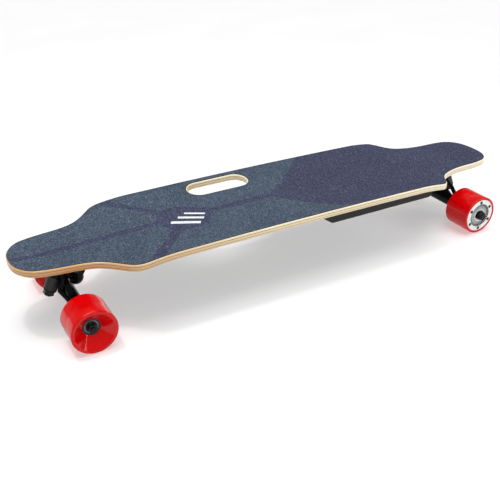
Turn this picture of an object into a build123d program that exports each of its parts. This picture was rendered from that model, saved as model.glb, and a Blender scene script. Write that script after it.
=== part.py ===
from build123d import *
import math
import os

os.makedirs("parts", exist_ok=True)

# ---------------------------------------------------------------------------
# Electric longboard. Millimetres, +X to the nose, +Y to the rider's left,
# +Z up. Origin on the floor, midway between the nose and the tail.
# ---------------------------------------------------------------------------

# deck
HALF_LEN = 463.0          # half of the overall length
HALF_WID = 115.5          # half of the platform width
DECK_T = 11.0             # plywood thickness
DECK_CENTRE_Z = 118.7     # top of the wood at the middle of the board
CONCAVE = 7.1             # rise of the platform edge above the centreline
CAMBER = 3.3e-5           # drop of the centreline per mm squared
GRIP_T = 0.95             # abrasive sheet
GRIP_INSET = 1.4
SLOT_C = (74.0, -80.0)    # carrying slot
SLOT_L, SLOT_W = 115.0, 44.0

# running gear
AXLE_X = 379.5            # half wheelbase
WHEEL_R = 36.0
FRONT_IN, FRONT_OUT = 73.0, 128.5
REAR_IN, REAR_OUT = 66.0, 120.5
AXLE_END = 128.4
FRONT_AXLE_R = 4.0
MOTOR_AXLE_R = 6.0
FIT = 0.04                # radial running clearance

# trucks: steering axis through the pivot and the hanger ring
STEER_TILT = math.radians(28.0)
PIVOT = (366.0, 0.0, 60.0)
RING_DIST = 32.0
RISER_T = 3.0
PLATE_T = 6.0
BOLT_DX, BOLT_DY = 26.99, 20.64   # half of the 53.98 x 41.28 hole pattern
PLATE_X = 372.0
BAR_R = 11.5
NOSE_R = 5.6              # ball on the end of the hanger's pivot nose

# battery and controller housing
BOX_X0, BOX_X1 = -287.0, -46.0
BOX_HY = 82.0
BOX_Z = 79.5
WALL = 2.5


def drop(x):
    """Camber: parabola along the platform, flat under the trucks."""
    x = abs(x)
    total, n = 0.0, 60
    for i in range(n):
        s = (i + 0.5) * x / n
        t = min(max((s - 290.0) / 55.0, 0.0), 1.0)
        total += 2.0 * CAMBER * s * (1.0 - t * t * (3.0 - 2.0 * t)) * x / n
    return total


def top_z(x, y):
    """Height of the wood's upper face."""
    t = min(max((abs(x) - 235.0) / 98.0, 0.0), 1.0)
    fade = 1.0 - t * t * (3.0 - 2.0 * t)
    return DECK_CENTRE_Z - drop(x) + CONCAVE * fade * (y / HALF_WID) ** 2


def surface(dz):
    """The deck's curved face, moved down by dz."""
    xs = [-500 + 12.5 * i for i in range(81)]
    ys = [-130 + 13.0 * j for j in range(21)]
    zs = {x: None for x in xs}
    pts = []
    for x in xs:
        d = drop(x)
        t = min(max((abs(x) - 235.0) / 98.0, 0.0), 1.0)
        fade = 1.0 - t * t * (3.0 - 2.0 * t)
        pts.append([Vector(x, y, DECK_CENTRE_Z - d + CONCAVE * fade * (y / HALF_WID) ** 2 - dz) for y in ys])
    return Face.make_surface_from_array_of_points(pts, tol=0.005, min_deg=3, max_deg=3)


FLAT_TOP = top_z(400, 0)                 # wood top over the trucks
PAD_Z = FLAT_TOP - DECK_T + 0.08         # flat land under the deck
PLATE_TOP = PAD_Z - RISER_T
PLATE_BOT = PLATE_TOP - PLATE_T

NOSE = [(463, 0), (460.2, 22), (452, 38), (440.5, 49), (428, 54.3), (412, 57.8), (395, 60.4), (378, 62.6),
        (360, 66.2), (346, 71.6), (333, 80.6), (321, 92), (309.5, 104), (299, 111.8), (287, 115.0), (275, 115.5)]
TAIL = [(-274, 115.5), (-284, 114.8), (-291.5, 111.2), (-298, 104.5), (-305, 94), (-312.5, 84), (-322, 75.8),
        (-336, 69.2), (-352, 64.6), (-376, 61.2), (-402, 60.4), (-424, 58.2), (-442, 52), (-454, 40.5),
        (-461, 22), (-463, 0)]


def inset_points(pts, d, ends):
    """Move a run of points inward along its normals."""
    out = []
    for i, (x, y) in enumerate(pts):
        if i == 0:
            tx, ty = ends[0]
        elif i == len(pts) - 1:
            tx, ty = ends[1]
        else:
            tx, ty = pts[i + 1][0] - pts[i - 1][0], pts[i + 1][1] - pts[i - 1][1]
        n = math.hypot(tx, ty)
        out.append((x - ty / n * d, y + tx / n * d))
    return out


def outline(d):
    """Half outline, mirrored: call inside a BuildLine."""
    nose = inset_points(NOSE, d, ((0, 1), (-1, 0)))
    tail = inset_points(TAIL, d, ((-1, 0), (0, -1)))
    Spline(*nose, tangents=((0, 1), (-1, 0)))
    Line(nose[-1], tail[0])
    Spline(*tail[::-1], tangents=((0, 1), (1, 0)))
    mirror(about=Plane.XZ)


# steering geometry (front truck; the rear is its mirror image)
CA, SA = math.cos(STEER_TILT), math.sin(STEER_TILT)
A = Vector(CA, 0, SA)                    # steering axis, up toward the nose
K = Vector(SA, 0, -CA)                   # kingpin direction, down and out
P = Vector(*PIVOT)
R = P + A * RING_DIST


def along_k(s):
    """Plane square to the kingpin, s from the middle of the hanger ring."""
    return Plane(origin=R + K * s, x_dir=(0, 1, 0), z_dir=K)


def along_a(s):
    """Plane square to the steering axis, s from the pivot."""
    return Plane(origin=P + A * s, x_dir=(0, 1, 0), z_dir=A)


def axle_plane(x):
    """Radial section through a wheel: u along +Y, v up from the axle."""
    return Plane(origin=(x, 0, WHEEL_R), x_dir=(0, 1, 0), z_dir=(1, 0, 0))


FRONT_AXIS = Axis((AXLE_X, 0, WHEEL_R), (0, 1, 0))
REAR_AXIS = Axis((-AXLE_X, 0, WHEEL_R), (0, 1, 0))

# ---------------------------------------------------------------------------
# Deck and grip
# ---------------------------------------------------------------------------
SCREW_XY = [(x, y) for x in (-268.0, -206.0, -144.0, -82.0) for y in (-86.5, 86.5)]
SCREW_XY += [(-291.5, -45.0), (-291.5, 45.0), (-41.5, -45.0), (-41.5, 45.0)]

BOLT_XY = [(sx * PLATE_X + dx, sy * BOLT_DY) for sx in (1, -1) for dx in (-BOLT_DX, BOLT_DX) for sy in (-1, 1)]

with BuildPart() as deck:
    extrude(surface(0.0), amount=DECK_T, dir=(0, 0, -1))
    with BuildSketch(Plane.XY.offset(60)):
        with BuildLine():
            outline(0.0)
        make_face()
        with Locations(SLOT_C):
            SlotOverall(SLOT_L, SLOT_W, mode=Mode.SUBTRACT)
    extrude(amount=100, mode=Mode.INTERSECT)
    # flat lands for the trucks
    for sx in (1, -1):
        with BuildSketch(Plane.XY.offset(90)):
            with Locations((sx * PLATE_X, 0)):
                RectangleRounded(84, 58, 6)
        extrude(amount=PAD_Z - 90, mode=Mode.SUBTRACT)
    # truck bolt holes, and the recesses that their heads sit in
    with BuildSketch(Plane.XY.offset(90)):
        for (x, y) in BOLT_XY:
            with Locations((x, y)):
                Circle(2.6)
    extrude(amount=40, mode=Mode.SUBTRACT)
    with BuildSketch(Plane.XY.offset(FLAT_TOP - 2.5)):
        for (x, y) in BOLT_XY:
            with Locations((x, y)):
                Circle(5.2)
    extrude(amount=20, mode=Mode.SUBTRACT)
    # pilot holes for the housing screws
    for (x, y) in SCREW_XY:
        with BuildSketch(Plane.XY.offset(95)):
            with Locations((x, y)):
                Circle(1.9)
        extrude(amount=top_z(x, y) - 3.5 - 95, mode=Mode.SUBTRACT)
deck.part.label = "deck"
export_step(deck.part, "parts/deck.step")

with BuildPart() as grip_tape:
    extrude(surface(-GRIP_T - 0.03), amount=GRIP_T, dir=(0, 0, -1))
    with BuildSketch(Plane.XY.offset(60)):
        with BuildLine():
            outline(GRIP_INSET)
        make_face()
        with Locations(SLOT_C):
            SlotOverall(SLOT_L + 4.0, SLOT_W + 4.0, mode=Mode.SUBTRACT)
    extrude(amount=100, mode=Mode.INTERSECT)
grip_tape.part.label = "grip_tape"
export_step(grip_tape.part, "parts/grip_tape.step")

# ---------------------------------------------------------------------------
# Trucks
# ---------------------------------------------------------------------------
with BuildPart() as riser_pads:
    for sx in (1, -1):
        with BuildSketch(Plane.XY.offset(PLATE_TOP)):
            with Locations((sx * PLATE_X, 0)):
                RectangleRounded(82, 56, 6)
            for dx in (-BOLT_DX, BOLT_DX):
                for sy in (-1, 1):
                    with Locations((sx * PLATE_X + dx, sy * BOLT_DY)):
                        Circle(2.7, mode=Mode.SUBTRACT)
        extrude(amount=RISER_T)
riser_pads.part.label = "riser_pads"
export_step(riser_pads.part, "parts/riser_pads.step")

with BuildPart() as front_baseplate:
    # plate
    with BuildSketch(Plane.XY.offset(PLATE_BOT)):
        with Locations((PLATE_X, 0)):
            RectangleRounded(82, 56, 6)
    extrude(amount=PLATE_T)
    # pivot housing hanging under the plate
    with BuildSketch(Plane.XY.offset(P.Z)):
        with Locations((P.X, 0)):
            Circle(12.5)
    extrude(amount=PLATE_TOP - P.Z)
    with Locations(P):
        Sphere(12.5)
    # side webs that carry the housing
    with BuildSketch(Plane.XZ.offset(-9.0)):
        with BuildLine():
            Polyline((338, PLATE_BOT + 1), (355, P.Z + 6), (362, P.Z + 6), (378, PLATE_BOT + 1), close=True)
        make_face()
    extrude(amount=18.0)
    # tilted seat for the upper bushing
    with BuildSketch(along_k(-18.0)):
        Circle(14.5)
    extrude(amount=-9.0)
    with BuildSketch(Plane.XY.offset(PLATE_TOP)):
        with Locations((PLATE_X, 0)):
            Rectangle(120, 80)
    extrude(amount=20, mode=Mode.SUBTRACT)
    # room for the bushing and the hanger ring
    with BuildSketch(along_k(-18.0)):
        Circle(13.3)
    extrude(amount=30.0, mode=Mode.SUBTRACT)
    # kingpin hole and head recess
    with BuildSketch(along_k(-17.0)):
        Circle(4.85)
    extrude(amount=-20.0, mode=Mode.SUBTRACT)
    with BuildSketch(along_k(-20.0)):
        Circle(7.6)
    extrude(amount=-16.0, mode=Mode.SUBTRACT)
    # open mouth of the pivot housing and its socket
    with BuildSketch(along_a(4.0)):
        Rectangle(60, 26)
    extrude(amount=14.0, mode=Mode.SUBTRACT)
    with BuildSketch(along_a(4.0)):
        Circle(9.0)
    extrude(amount=-12.0, mode=Mode.SUBTRACT)
    # bolt holes
    with BuildSketch(Plane.XY.offset(PLATE_BOT - 1)):
        for dx in (-BOLT_DX, BOLT_DX):
            for sy in (-1, 1):
                with Locations((PLATE_X + dx, sy * BOLT_DY)):
                    Circle(2.7)
    extrude(amount=PLATE_T + 2, mode=Mode.SUBTRACT)
front_baseplate.part.label = "front_baseplate"
export_step(front_baseplate.part, "parts/front_baseplate.step")

with BuildPart() as rear_baseplate:
    add(mirror(front_baseplate.part, about=Plane.YZ, mode=Mode.PRIVATE))
rear_baseplate.part.label = "rear_baseplate"
export_step(rear_baseplate.part, "parts/rear_baseplate.step")

with BuildPart() as front_pivot_cup:
    with BuildSketch(along_a(-8.0)):
        Circle(9.0)
    extrude(amount=12.0)
    with Locations(P):
        Sphere(NOSE_R + FIT, mode=Mode.SUBTRACT)
    with BuildSketch(along_a(0.0)):
        Circle(NOSE_R + FIT)
    extrude(amount=5.0, mode=Mode.SUBTRACT)
with BuildPart() as pivot_cups:
    add(front_pivot_cup.part)
    add(mirror(front_pivot_cup.part, about=Plane.YZ, mode=Mode.PRIVATE))
pivot_cups.part.label = "pivot_cups"
export_step(pivot_cups.part, "parts/pivot_cups.step")

with BuildPart() as front_kingpin:
    with BuildSketch(along_k(-20.0)):
        RegularPolygon(7.4, 6)
    extrude(amount=-4.5)
    with BuildSketch(along_k(-20.0)):
        Circle(4.75)
    extrude(amount=60.0)
with BuildPart() as kingpins:
    add(front_kingpin.part)
    add(mirror(front_kingpin.part, about=Plane.YZ, mode=Mode.PRIVATE))
kingpins.part.label = "kingpins"
export_step(kingpins.part, "parts/kingpins.step")

with BuildPart() as front_kingpin_washers:
    with BuildSketch(along_k(-18.0)):
        Circle(12.0)
        Circle(4.8, mode=Mode.SUBTRACT)
    extrude(amount=1.5)
    with BuildSketch(along_k(28.0)):
        Circle(10.6)
        Circle(4.8, mode=Mode.SUBTRACT)
    extrude(amount=2.0)
with BuildPart() as kingpin_washers:
    add(front_kingpin_washers.part)
    add(mirror(front_kingpin_washers.part, about=Plane.YZ, mode=Mode.PRIVATE))
kingpin_washers.part.label = "kingpin_washers"
export_step(kingpin_washers.part, "parts/kingpin_washers.step")

with BuildPart() as front_kingpin_nut:
    with BuildSketch(along_k(30.0)):
        RegularPolygon(8.7, 6)
        Circle(4.8, mode=Mode.SUBTRACT)
    extrude(amount=8.0)
with BuildPart() as kingpin_nuts:
    add(front_kingpin_nut.part)
    add(mirror(front_kingpin_nut.part, about=Plane.YZ, mode=Mode.PRIVATE))
kingpin_nuts.part.label = "kingpin_nuts"
export_step(kingpin_nuts.part, "parts/kingpin_nuts.step")

with BuildPart() as front_bushings:
    # upper: barrel between the baseplate and the ring
    with BuildSketch(along_k(-16.5)):
        Circle(11.6)
        Circle(4.85, mode=Mode.SUBTRACT)
    extrude(amount=10.4)
    # lower: cone between the ring and the washer
    with BuildSketch(along_k(6.1)):
        Circle(11.8)
    extrude(amount=21.9, taper=3.5)
    with BuildSketch(along_k(6.0)):
        Circle(4.85)
    extrude(amount=22.0, mode=Mode.SUBTRACT)
front_bushings.part.label = "front_bushings"
export_step(front_bushings.part, "parts/front_bushings.step")

with BuildPart() as rear_bushings:
    add(mirror(front_bushings.part, about=Plane.YZ, mode=Mode.PRIVATE))
rear_bushings.part.label = "rear_bushings"
export_step(rear_bushings.part, "parts/rear_bushings.step")

with BuildPart() as truck_bolts:
    # low round heads with a hex socket, sunk below the wood's upper face
    for (x, y) in BOLT_XY:
        with BuildSketch(Plane.XY.offset(FLAT_TOP - 2.45)):
            with Locations((x, y)):
                Circle(4.7)
        extrude(amount=2.15)
        with BuildSketch(Plane.XY.offset(FLAT_TOP - 2.0)):
            with Locations((x, y)):
                Circle(2.4)
        extrude(amount=-(FLAT_TOP - 2.0 - (PLATE_BOT - 6.5)))
        with BuildSketch(Plane.XY.offset(FLAT_TOP - 1.6)):
            with Locations((x, y)):
                RegularPolygon(1.75, 6)
        extrude(amount=3.0, mode=Mode.SUBTRACT)
truck_bolts.part.label = "truck_bolts"
export_step(truck_bolts.part, "parts/truck_bolts.step")

with BuildPart() as truck_bolt_nuts:
    for sx in (1, -1):
        for dx in (-BOLT_DX, BOLT_DX):
            for sy in (-1, 1):
                with BuildSketch(Plane.XY.offset(PLATE_BOT - 5.0)):
                    with Locations((sx * PLATE_X + dx, sy * BOLT_DY)):
                        RegularPolygon(5.4, 6)
                        Circle(2.42, mode=Mode.SUBTRACT)
                extrude(amount=5.0)
truck_bolt_nuts.part.label = "truck_bolt_nuts"
export_step(truck_bolt_nuts.part, "parts/truck_bolt_nuts.step")


def rod(p, q, r):
    """Round strut between two points, with a ball at its far end."""
    p, q = Vector(*p), Vector(*q)
    with BuildSketch(Plane(origin=p, z_dir=q - p)) as face:
        Circle(r)
    extrude(face.sketch, amount=(q - p).length)
    with Locations(q):
        Sphere(r)


def hanger_body(shoulder_y, shoulder_r, bar_y, bore_r, bore_depth):
    """Cast hanger: bar, ring, pivot nose, neck and bow struts."""
    with BuildSketch(Plane.XZ.offset(-bar_y)) as face:
        with Locations((AXLE_X, WHEEL_R)):
            Circle(BAR_R)
    extrude(face.sketch, amount=2 * bar_y)
    with BuildSketch(Plane.XZ.offset(-shoulder_y)) as face:
        with Locations((AXLE_X, WHEEL_R)):
            Circle(shoulder_r)
    extrude(face.sketch, amount=2 * shoulder_y)
    # ring round the kingpin
    with BuildSketch(along_k(-6.0)) as face:
        Circle(13.0)
    extrude(face.sketch, amount=12.0)
    # neck from the bar to the ring
    with BuildSketch(Plane.XZ.offset(-11.0)) as face:
        with BuildLine():
            Polyline((370.5, 34), (377.5, 44), (380.5, 53), (379.8, 62), (383, 72), (392, 75), (399, 66), (391, 50),
                     (392, 36), close=True)
        make_face()
    extrude(face.sketch, amount=22.0)
    # shoulders that spread the neck along the bar
    with BuildSketch(Plane.YZ.offset(379.3)) as face:
        with BuildLine():
            Polyline((-44, 38), (-11.5, 57), (11.5, 57), (44, 38), close=True)
        make_face()
    extrude(face.sketch, amount=8.7)
    # pivot nose
    with BuildSketch(along_a(0.0)) as face:
        Circle(NOSE_R)
    extrude(face.sketch, amount=22.0)
    # bow struts
    for sy in (-1, 1):
        rod((389, sy * 9, 68), (397.5, sy * 20.5, 54), 3.9)
        rod((397.5, sy * 20.5, 54), (386.5, sy * 50, 42), 3.9)
    with Locations(P):
        Sphere(NOSE_R)
    # room for the bushings, washers and nut
    with BuildSketch(along_k(6.0)) as face:
        Circle(13.6)
    extrude(face.sketch, amount=38.0, mode=Mode.SUBTRACT)
    # swing room for the lower washer at full lean
    with BuildSketch(along_k(14.0)) as face:
        Circle(16.3)
    extrude(face.sketch, amount=34.0, mode=Mode.SUBTRACT)
    with BuildSketch(along_k(-6.0)) as face:
        Circle(13.6)
    extrude(face.sketch, amount=-16.0, mode=Mode.SUBTRACT)
    with BuildSketch(along_k(-7.0)) as face:
        Circle(8.6)
    extrude(face.sketch, amount=14.0, mode=Mode.SUBTRACT)
    # bore for the axle
    for sy in (-1, 1):
        with BuildSketch(Plane.XZ.offset(-sy * shoulder_y)) as face:
            with Locations((AXLE_X, WHEEL_R)):
                Circle(bore_r)
        extrude(face.sketch, amount=sy * bore_depth, mode=Mode.SUBTRACT)


with BuildPart() as front_hanger:
    hanger_body(85.6, 7.4, 70.0, FRONT_AXLE_R, 86.0)
front_hanger.part.label = "front_hanger"
export_step(front_hanger.part, "parts/front_hanger.step")

with BuildPart() as rear_hanger_flipped:
    hanger_body(67.9, 8.2, 63.5, MOTOR_AXLE_R, 50.0)
with BuildPart() as rear_hanger:
    add(mirror(rear_hanger_flipped.part, about=Plane.YZ, mode=Mode.PRIVATE))
rear_hanger.part.label = "rear_hanger"
export_step(rear_hanger.part, "parts/rear_hanger.step")

with BuildPart() as front_axle:
    with BuildSketch(Plane.XZ.offset(-121.0)):
        with Locations((AXLE_X, WHEEL_R)):
            Circle(FRONT_AXLE_R)
    extrude(amount=242.0)
    chamfer(front_axle.faces().filter_by(Axis.Y).edges(), 0.6)
front_axle.part.label = "front_axle"
export_step(front_axle.part, "parts/front_axle.step")

with BuildPart() as front_axle_washers:
    for sy in (-1, 1):
        for (a, b) in ((85.65, 86.45), (110.55, 111.3)):
            with BuildSketch(Plane.XZ.offset(-sy * a)):
                with Locations((AXLE_X, WHEEL_R)):
                    Circle(6.0)
                    Circle(FRONT_AXLE_R + 0.02, mode=Mode.SUBTRACT)
            extrude(amount=-sy * (b - a))
front_axle_washers.part.label = "front_axle_washers"
export_step(front_axle_washers.part, "parts/front_axle_washers.step")

with BuildPart() as front_axle_nuts:
    for sy in (-1, 1):
        with BuildSketch(Plane.XZ.offset(-sy * 111.3)):
            with Locations((AXLE_X, WHEEL_R)):
                RegularPolygon(7.5, 6)
                Circle(FRONT_AXLE_R + 0.02, mode=Mode.SUBTRACT)
        extrude(amount=-sy * 7.2)
front_axle_nuts.part.label = "front_axle_nuts"
export_step(front_axle_nuts.part, "parts/front_axle_nuts.step")

# ---------------------------------------------------------------------------
# Front wheels
# ---------------------------------------------------------------------------
CORE_R = 14.0
BEAR_R, BEAR_W = 11.0, 7.0
B1, B2 = 86.5, 103.5      # inner faces of the two bearings

with BuildPart() as front_left_tyre:
    with BuildSketch(axle_plane(AXLE_X)) as s:
        with BuildLine():
            Polyline((111.5, CORE_R), (128.5, 30.6), (128.5, 36.0), (FRONT_IN, 36.0), (FRONT_IN, 30.6),
                     (85.5, CORE_R), (90.0, CORE_R), (90.0, 20.0), (107.0, 20.0), (107.0, CORE_R), close=True)
        make_face()
        fillet(s.vertices().filter_by(lambda v: abs(v.Y - 36.0) < 0.01), 4.8)
        fillet(s.vertices().filter_by(lambda v: abs(v.Y - 30.6) < 0.01), 1.2)
    revolve(axis=FRONT_AXIS)
front_left_tyre.part.label = "front_left_tyre"
export_step(front_left_tyre.part, "parts/front_left_tyre.step")

with BuildPart() as front_left_core:
    with BuildSketch(axle_plane(AXLE_X)):
        with BuildLine():
            Polyline((B1, BEAR_R), (85.5, BEAR_R), (85.5, CORE_R), (90.0, CORE_R), (90.0, 20.0), (107.0, 20.0),
                     (107.0, CORE_R), (111.5, CORE_R), (111.5, BEAR_R), (B2, BEAR_R), (B2, 8.5),
                     (B1 + BEAR_W, 8.5), (B1 + BEAR_W, BEAR_R), close=True)
        make_face()
    revolve(axis=FRONT_AXIS)
front_left_core.part.label = "front_left_core"
export_step(front_left_core.part, "parts/front_left_core.step")

with BuildPart() as front_left_bearings:
    for b in (B1, B2):
        with BuildSketch(axle_plane(AXLE_X)):
            with BuildLine():
                Polyline((b, FRONT_AXLE_R + FIT), (b, 6.2), (b + 0.5, 6.2), (b + 0.5, 9.2), (b, 9.2), (b, BEAR_R),
                         (b + BEAR_W, BEAR_R), (b + BEAR_W, 9.2), (b + BEAR_W - 0.5, 9.2), (b + BEAR_W - 0.5, 6.2),
                         (b + BEAR_W, 6.2), (b + BEAR_W, FRONT_AXLE_R + FIT), close=True)
            make_face()
        revolve(axis=FRONT_AXIS)
front_left_bearings.part.label = "front_left_bearings"
export_step(front_left_bearings.part, "parts/front_left_bearings.step")

with BuildPart() as front_left_spacer:
    with BuildSketch(axle_plane(AXLE_X)):
        with BuildLine():
            Polyline((B1 + BEAR_W, FRONT_AXLE_R + FIT), (B1 + BEAR_W, 5.6), (B2, 5.6), (B2, FRONT_AXLE_R + FIT),
                     close=True)
        make_face()
    revolve(axis=FRONT_AXIS)
front_left_spacer.part.label = "front_left_spacer"
export_step(front_left_spacer.part, "parts/front_left_spacer.step")

with BuildPart() as front_right_tyre:
    add(mirror(front_left_tyre.part, about=Plane.XZ, mode=Mode.PRIVATE))
front_right_tyre.part.label = "front_right_tyre"
export_step(front_right_tyre.part, "parts/front_right_tyre.step")

with BuildPart() as front_right_core:
    add(mirror(front_left_core.part, about=Plane.XZ, mode=Mode.PRIVATE))
front_right_core.part.label = "front_right_core"
export_step(front_right_core.part, "parts/front_right_core.step")

with BuildPart() as front_right_bearings:
    add(mirror(front_left_bearings.part, about=Plane.XZ, mode=Mode.PRIVATE))
front_right_bearings.part.label = "front_right_bearings"
export_step(front_right_bearings.part, "parts/front_right_bearings.step")

with BuildPart() as front_right_spacer:
    add(mirror(front_left_spacer.part, about=Plane.XZ, mode=Mode.PRIVATE))
front_right_spacer.part.label = "front_right_spacer"
export_step(front_right_spacer.part, "parts/front_right_spacer.step")

# ---------------------------------------------------------------------------
# Rear hub motors
# ---------------------------------------------------------------------------
CAN_R, CAN_T = 31.2, 3.0
MBR, MBW = 14.0, 8.0              # motor bearing
MB1, MB2 = 68.0, 107.5            # inner faces of the motor bearings
COVER_IN, COVER_OUT = 116.5, 119.9

with BuildPart() as rear_left_sleeve:
    with BuildSketch(axle_plane(-AXLE_X)) as s:
        with BuildLine():
            Polyline((REAR_IN, CAN_R), (REAR_IN, WHEEL_R), (REAR_OUT, WHEEL_R), (REAR_OUT, CAN_R), close=True)
        make_face()
        fillet(s.vertices().filter_by(lambda v: abs(v.Y - WHEEL_R) < 0.01), 2.8)
    revolve(axis=REAR_AXIS)
rear_left_sleeve.part.label = "rear_left_sleeve"
export_step(rear_left_sleeve.part, "parts/rear_left_sleeve.step")

with BuildPart() as rear_left_rotor:
    with BuildSketch(axle_plane(-AXLE_X)):
        with BuildLine():
            Polyline((67.0, 9.6), (67.0, CAN_R), (COVER_IN, CAN_R), (COVER_IN, CAN_R - CAN_T),
                     (71.0, CAN_R - CAN_T), (71.0, 17.0), (MB1 + MBW, 17.0), (MB1 + MBW, MBR), (MB1, MBR),
                     (MB1, 9.6), close=True)
        make_face()
    revolve(axis=REAR_AXIS)
rear_left_rotor.part.label = "rear_left_rotor"
export_step(rear_left_rotor.part, "parts/rear_left_rotor.step")

with BuildPart() as rear_left_magnets:
    with BuildSketch(Plane(origin=(-AXLE_X, 77.0, WHEEL_R), x_dir=(1, 0, 0), z_dir=(0, 1, 0))):
        Circle(CAN_R - CAN_T)
        Circle(CAN_R - CAN_T - 1.3, mode=Mode.SUBTRACT)
        with PolarLocations(CAN_R - CAN_T, 14):
            Rectangle(6, 1.6, mode=Mode.SUBTRACT)
    extrude(amount=30.0)
rear_left_magnets.part.label = "rear_left_magnets"
export_step(rear_left_magnets.part, "parts/rear_left_magnets.step")

with BuildPart() as rear_left_cover:
    with BuildSketch(axle_plane(-AXLE_X)):
        with BuildLine():
            Polyline((COVER_IN, CAN_R - 0.1), (COVER_OUT, CAN_R - 0.1), (COVER_OUT, 20.6), (118.6, 19.6),
                     (117.9, 13.2), (118.9, 12.2), (118.9, 10.6), (MB2 + MBW, 10.6), (MB2 + MBW, MBR), (MB2, MBR),
                     (MB2, 17.0), (114.6, 17.0), (115.4, 22.0), (COVER_IN, 22.6), close=True)
        make_face()
    revolve(axis=REAR_AXIS)
    # ring of cooling slots
    with BuildSketch(Plane(origin=(-AXLE_X, 112.0, WHEEL_R), x_dir=(1, 0, 0), z_dir=(0, 1, 0))):
        with PolarLocations(20.6, 36):
            Rectangle(3.6, 1.5)
    extrude(amount=10.0, mode=Mode.SUBTRACT)
    # screw holes
    with BuildSketch(Plane(origin=(-AXLE_X, 112.0, WHEEL_R), x_dir=(1, 0, 0), z_dir=(0, 1, 0))):
        with PolarLocations(26.2, 6, start_angle=31.4):
            Circle(2.4)
    extrude(amount=10.0, mode=Mode.SUBTRACT)
rear_left_cover.part.label = "rear_left_cover"
export_step(rear_left_cover.part, "parts/rear_left_cover.step")

with BuildPart() as rear_left_cover_screws:
    with BuildSketch(Plane(origin=(-AXLE_X, COVER_IN, WHEEL_R), x_dir=(1, 0, 0), z_dir=(0, 1, 0))):
        with PolarLocations(26.2, 6, start_angle=31.4):
            Circle(2.4)
    extrude(amount=3.5)
    with BuildSketch(Plane(origin=(-AXLE_X, COVER_IN + 1.6, WHEEL_R), x_dir=(1, 0, 0), z_dir=(0, 1, 0))):
        with PolarLocations(26.2, 6, start_angle=31.4):
            RegularPolygon(1.3, 6)
    extrude(amount=2.5, mode=Mode.SUBTRACT)
rear_left_cover_screws.part.label = "rear_left_cover_screws"
export_step(rear_left_cover_screws.part, "parts/rear_left_cover_screws.step")

with BuildPart() as rear_left_bearings:
    for b in (MB1, MB2):
        with BuildSketch(axle_plane(-AXLE_X)):
            with BuildLine():
                Polyline((b, MOTOR_AXLE_R + FIT), (b, 8.4), (b + 0.5, 8.4), (b + 0.5, 11.8), (b, 11.8), (b, MBR),
                         (b + MBW, MBR), (b + MBW, 11.8), (b + MBW - 0.5, 11.8), (b + MBW - 0.5, 8.4),
                         (b + MBW, 8.4), (b + MBW, MOTOR_AXLE_R + FIT), close=True)
            make_face()
        revolve(axis=REAR_AXIS)
rear_left_bearings.part.label = "rear_left_bearings"
export_step(rear_left_bearings.part, "parts/rear_left_bearings.step")

with BuildPart() as rear_left_stator:
    with BuildSketch(Plane(origin=(-AXLE_X, 79.0, WHEEL_R), x_dir=(1, 0, 0), z_dir=(0, 1, 0))):
        Circle(26.2)
        Circle(MOTOR_AXLE_R, mode=Mode.SUBTRACT)
        with PolarLocations(19.5, 12):
            Rectangle(13.0, 3.2, mode=Mode.SUBTRACT)
    extrude(amount=26.0)
rear_left_stator.part.label = "rear_left_stator"
export_step(rear_left_stator.part, "parts/rear_left_stator.step")

with BuildPart() as rear_right_sleeve:
    add(mirror(rear_left_sleeve.part, about=Plane.XZ, mode=Mode.PRIVATE))
rear_right_sleeve.part.label = "rear_right_sleeve"
export_step(rear_right_sleeve.part, "parts/rear_right_sleeve.step")

with BuildPart() as rear_right_rotor:
    add(mirror(rear_left_rotor.part, about=Plane.XZ, mode=Mode.PRIVATE))
rear_right_rotor.part.label = "rear_right_rotor"
export_step(rear_right_rotor.part, "parts/rear_right_rotor.step")

with BuildPart() as rear_right_magnets:
    add(mirror(rear_left_magnets.part, about=Plane.XZ, mode=Mode.PRIVATE))
rear_right_magnets.part.label = "rear_right_magnets"
export_step(rear_right_magnets.part, "parts/rear_right_magnets.step")

with BuildPart() as rear_right_cover:
    add(mirror(rear_left_cover.part, about=Plane.XZ, mode=Mode.PRIVATE))
rear_right_cover.part.label = "rear_right_cover"
export_step(rear_right_cover.part, "parts/rear_right_cover.step")

with BuildPart() as rear_right_cover_screws:
    add(mirror(rear_left_cover_screws.part, about=Plane.XZ, mode=Mode.PRIVATE))
rear_right_cover_screws.part.label = "rear_right_cover_screws"
export_step(rear_right_cover_screws.part, "parts/rear_right_cover_screws.step")

with BuildPart() as rear_right_bearings:
    add(mirror(rear_left_bearings.part, about=Plane.XZ, mode=Mode.PRIVATE))
rear_right_bearings.part.label = "rear_right_bearings"
export_step(rear_right_bearings.part, "parts/rear_right_bearings.step")

with BuildPart() as rear_right_stator:
    add(mirror(rear_left_stator.part, about=Plane.XZ, mode=Mode.PRIVATE))
rear_right_stator.part.label = "rear_right_stator"
export_step(rear_right_stator.part, "parts/rear_right_stator.step")

with BuildPart() as motor_windings:
    # one coil bar in each stator slot, standing 1.5 mm out at both ends
    for sy in (-1, 1):
        with BuildSketch(Plane(origin=(-AXLE_X, sy * 77.5, WHEEL_R), x_dir=(1, 0, 0), z_dir=(0, sy, 0))):
            with PolarLocations(19.0, 12):
                Rectangle(11.0, 3.0)
        extrude(amount=29.0)
motor_windings.part.label = "motor_windings"
export_step(motor_windings.part, "parts/motor_windings.step")

with BuildPart() as motor_axles:
    for sy in (-1, 1):
        with BuildSketch(Plane.XZ.offset(-sy * 18.0)):
            with Locations((-AXLE_X, WHEEL_R)):
                Circle(MOTOR_AXLE_R)
        extrude(amount=-sy * (AXLE_END - 18.0))
    chamfer(motor_axles.faces().filter_by(Axis.Y).edges(), 0.8)
motor_axles.part.label = "motor_axles"
export_step(motor_axles.part, "parts/motor_axles.step")

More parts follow.
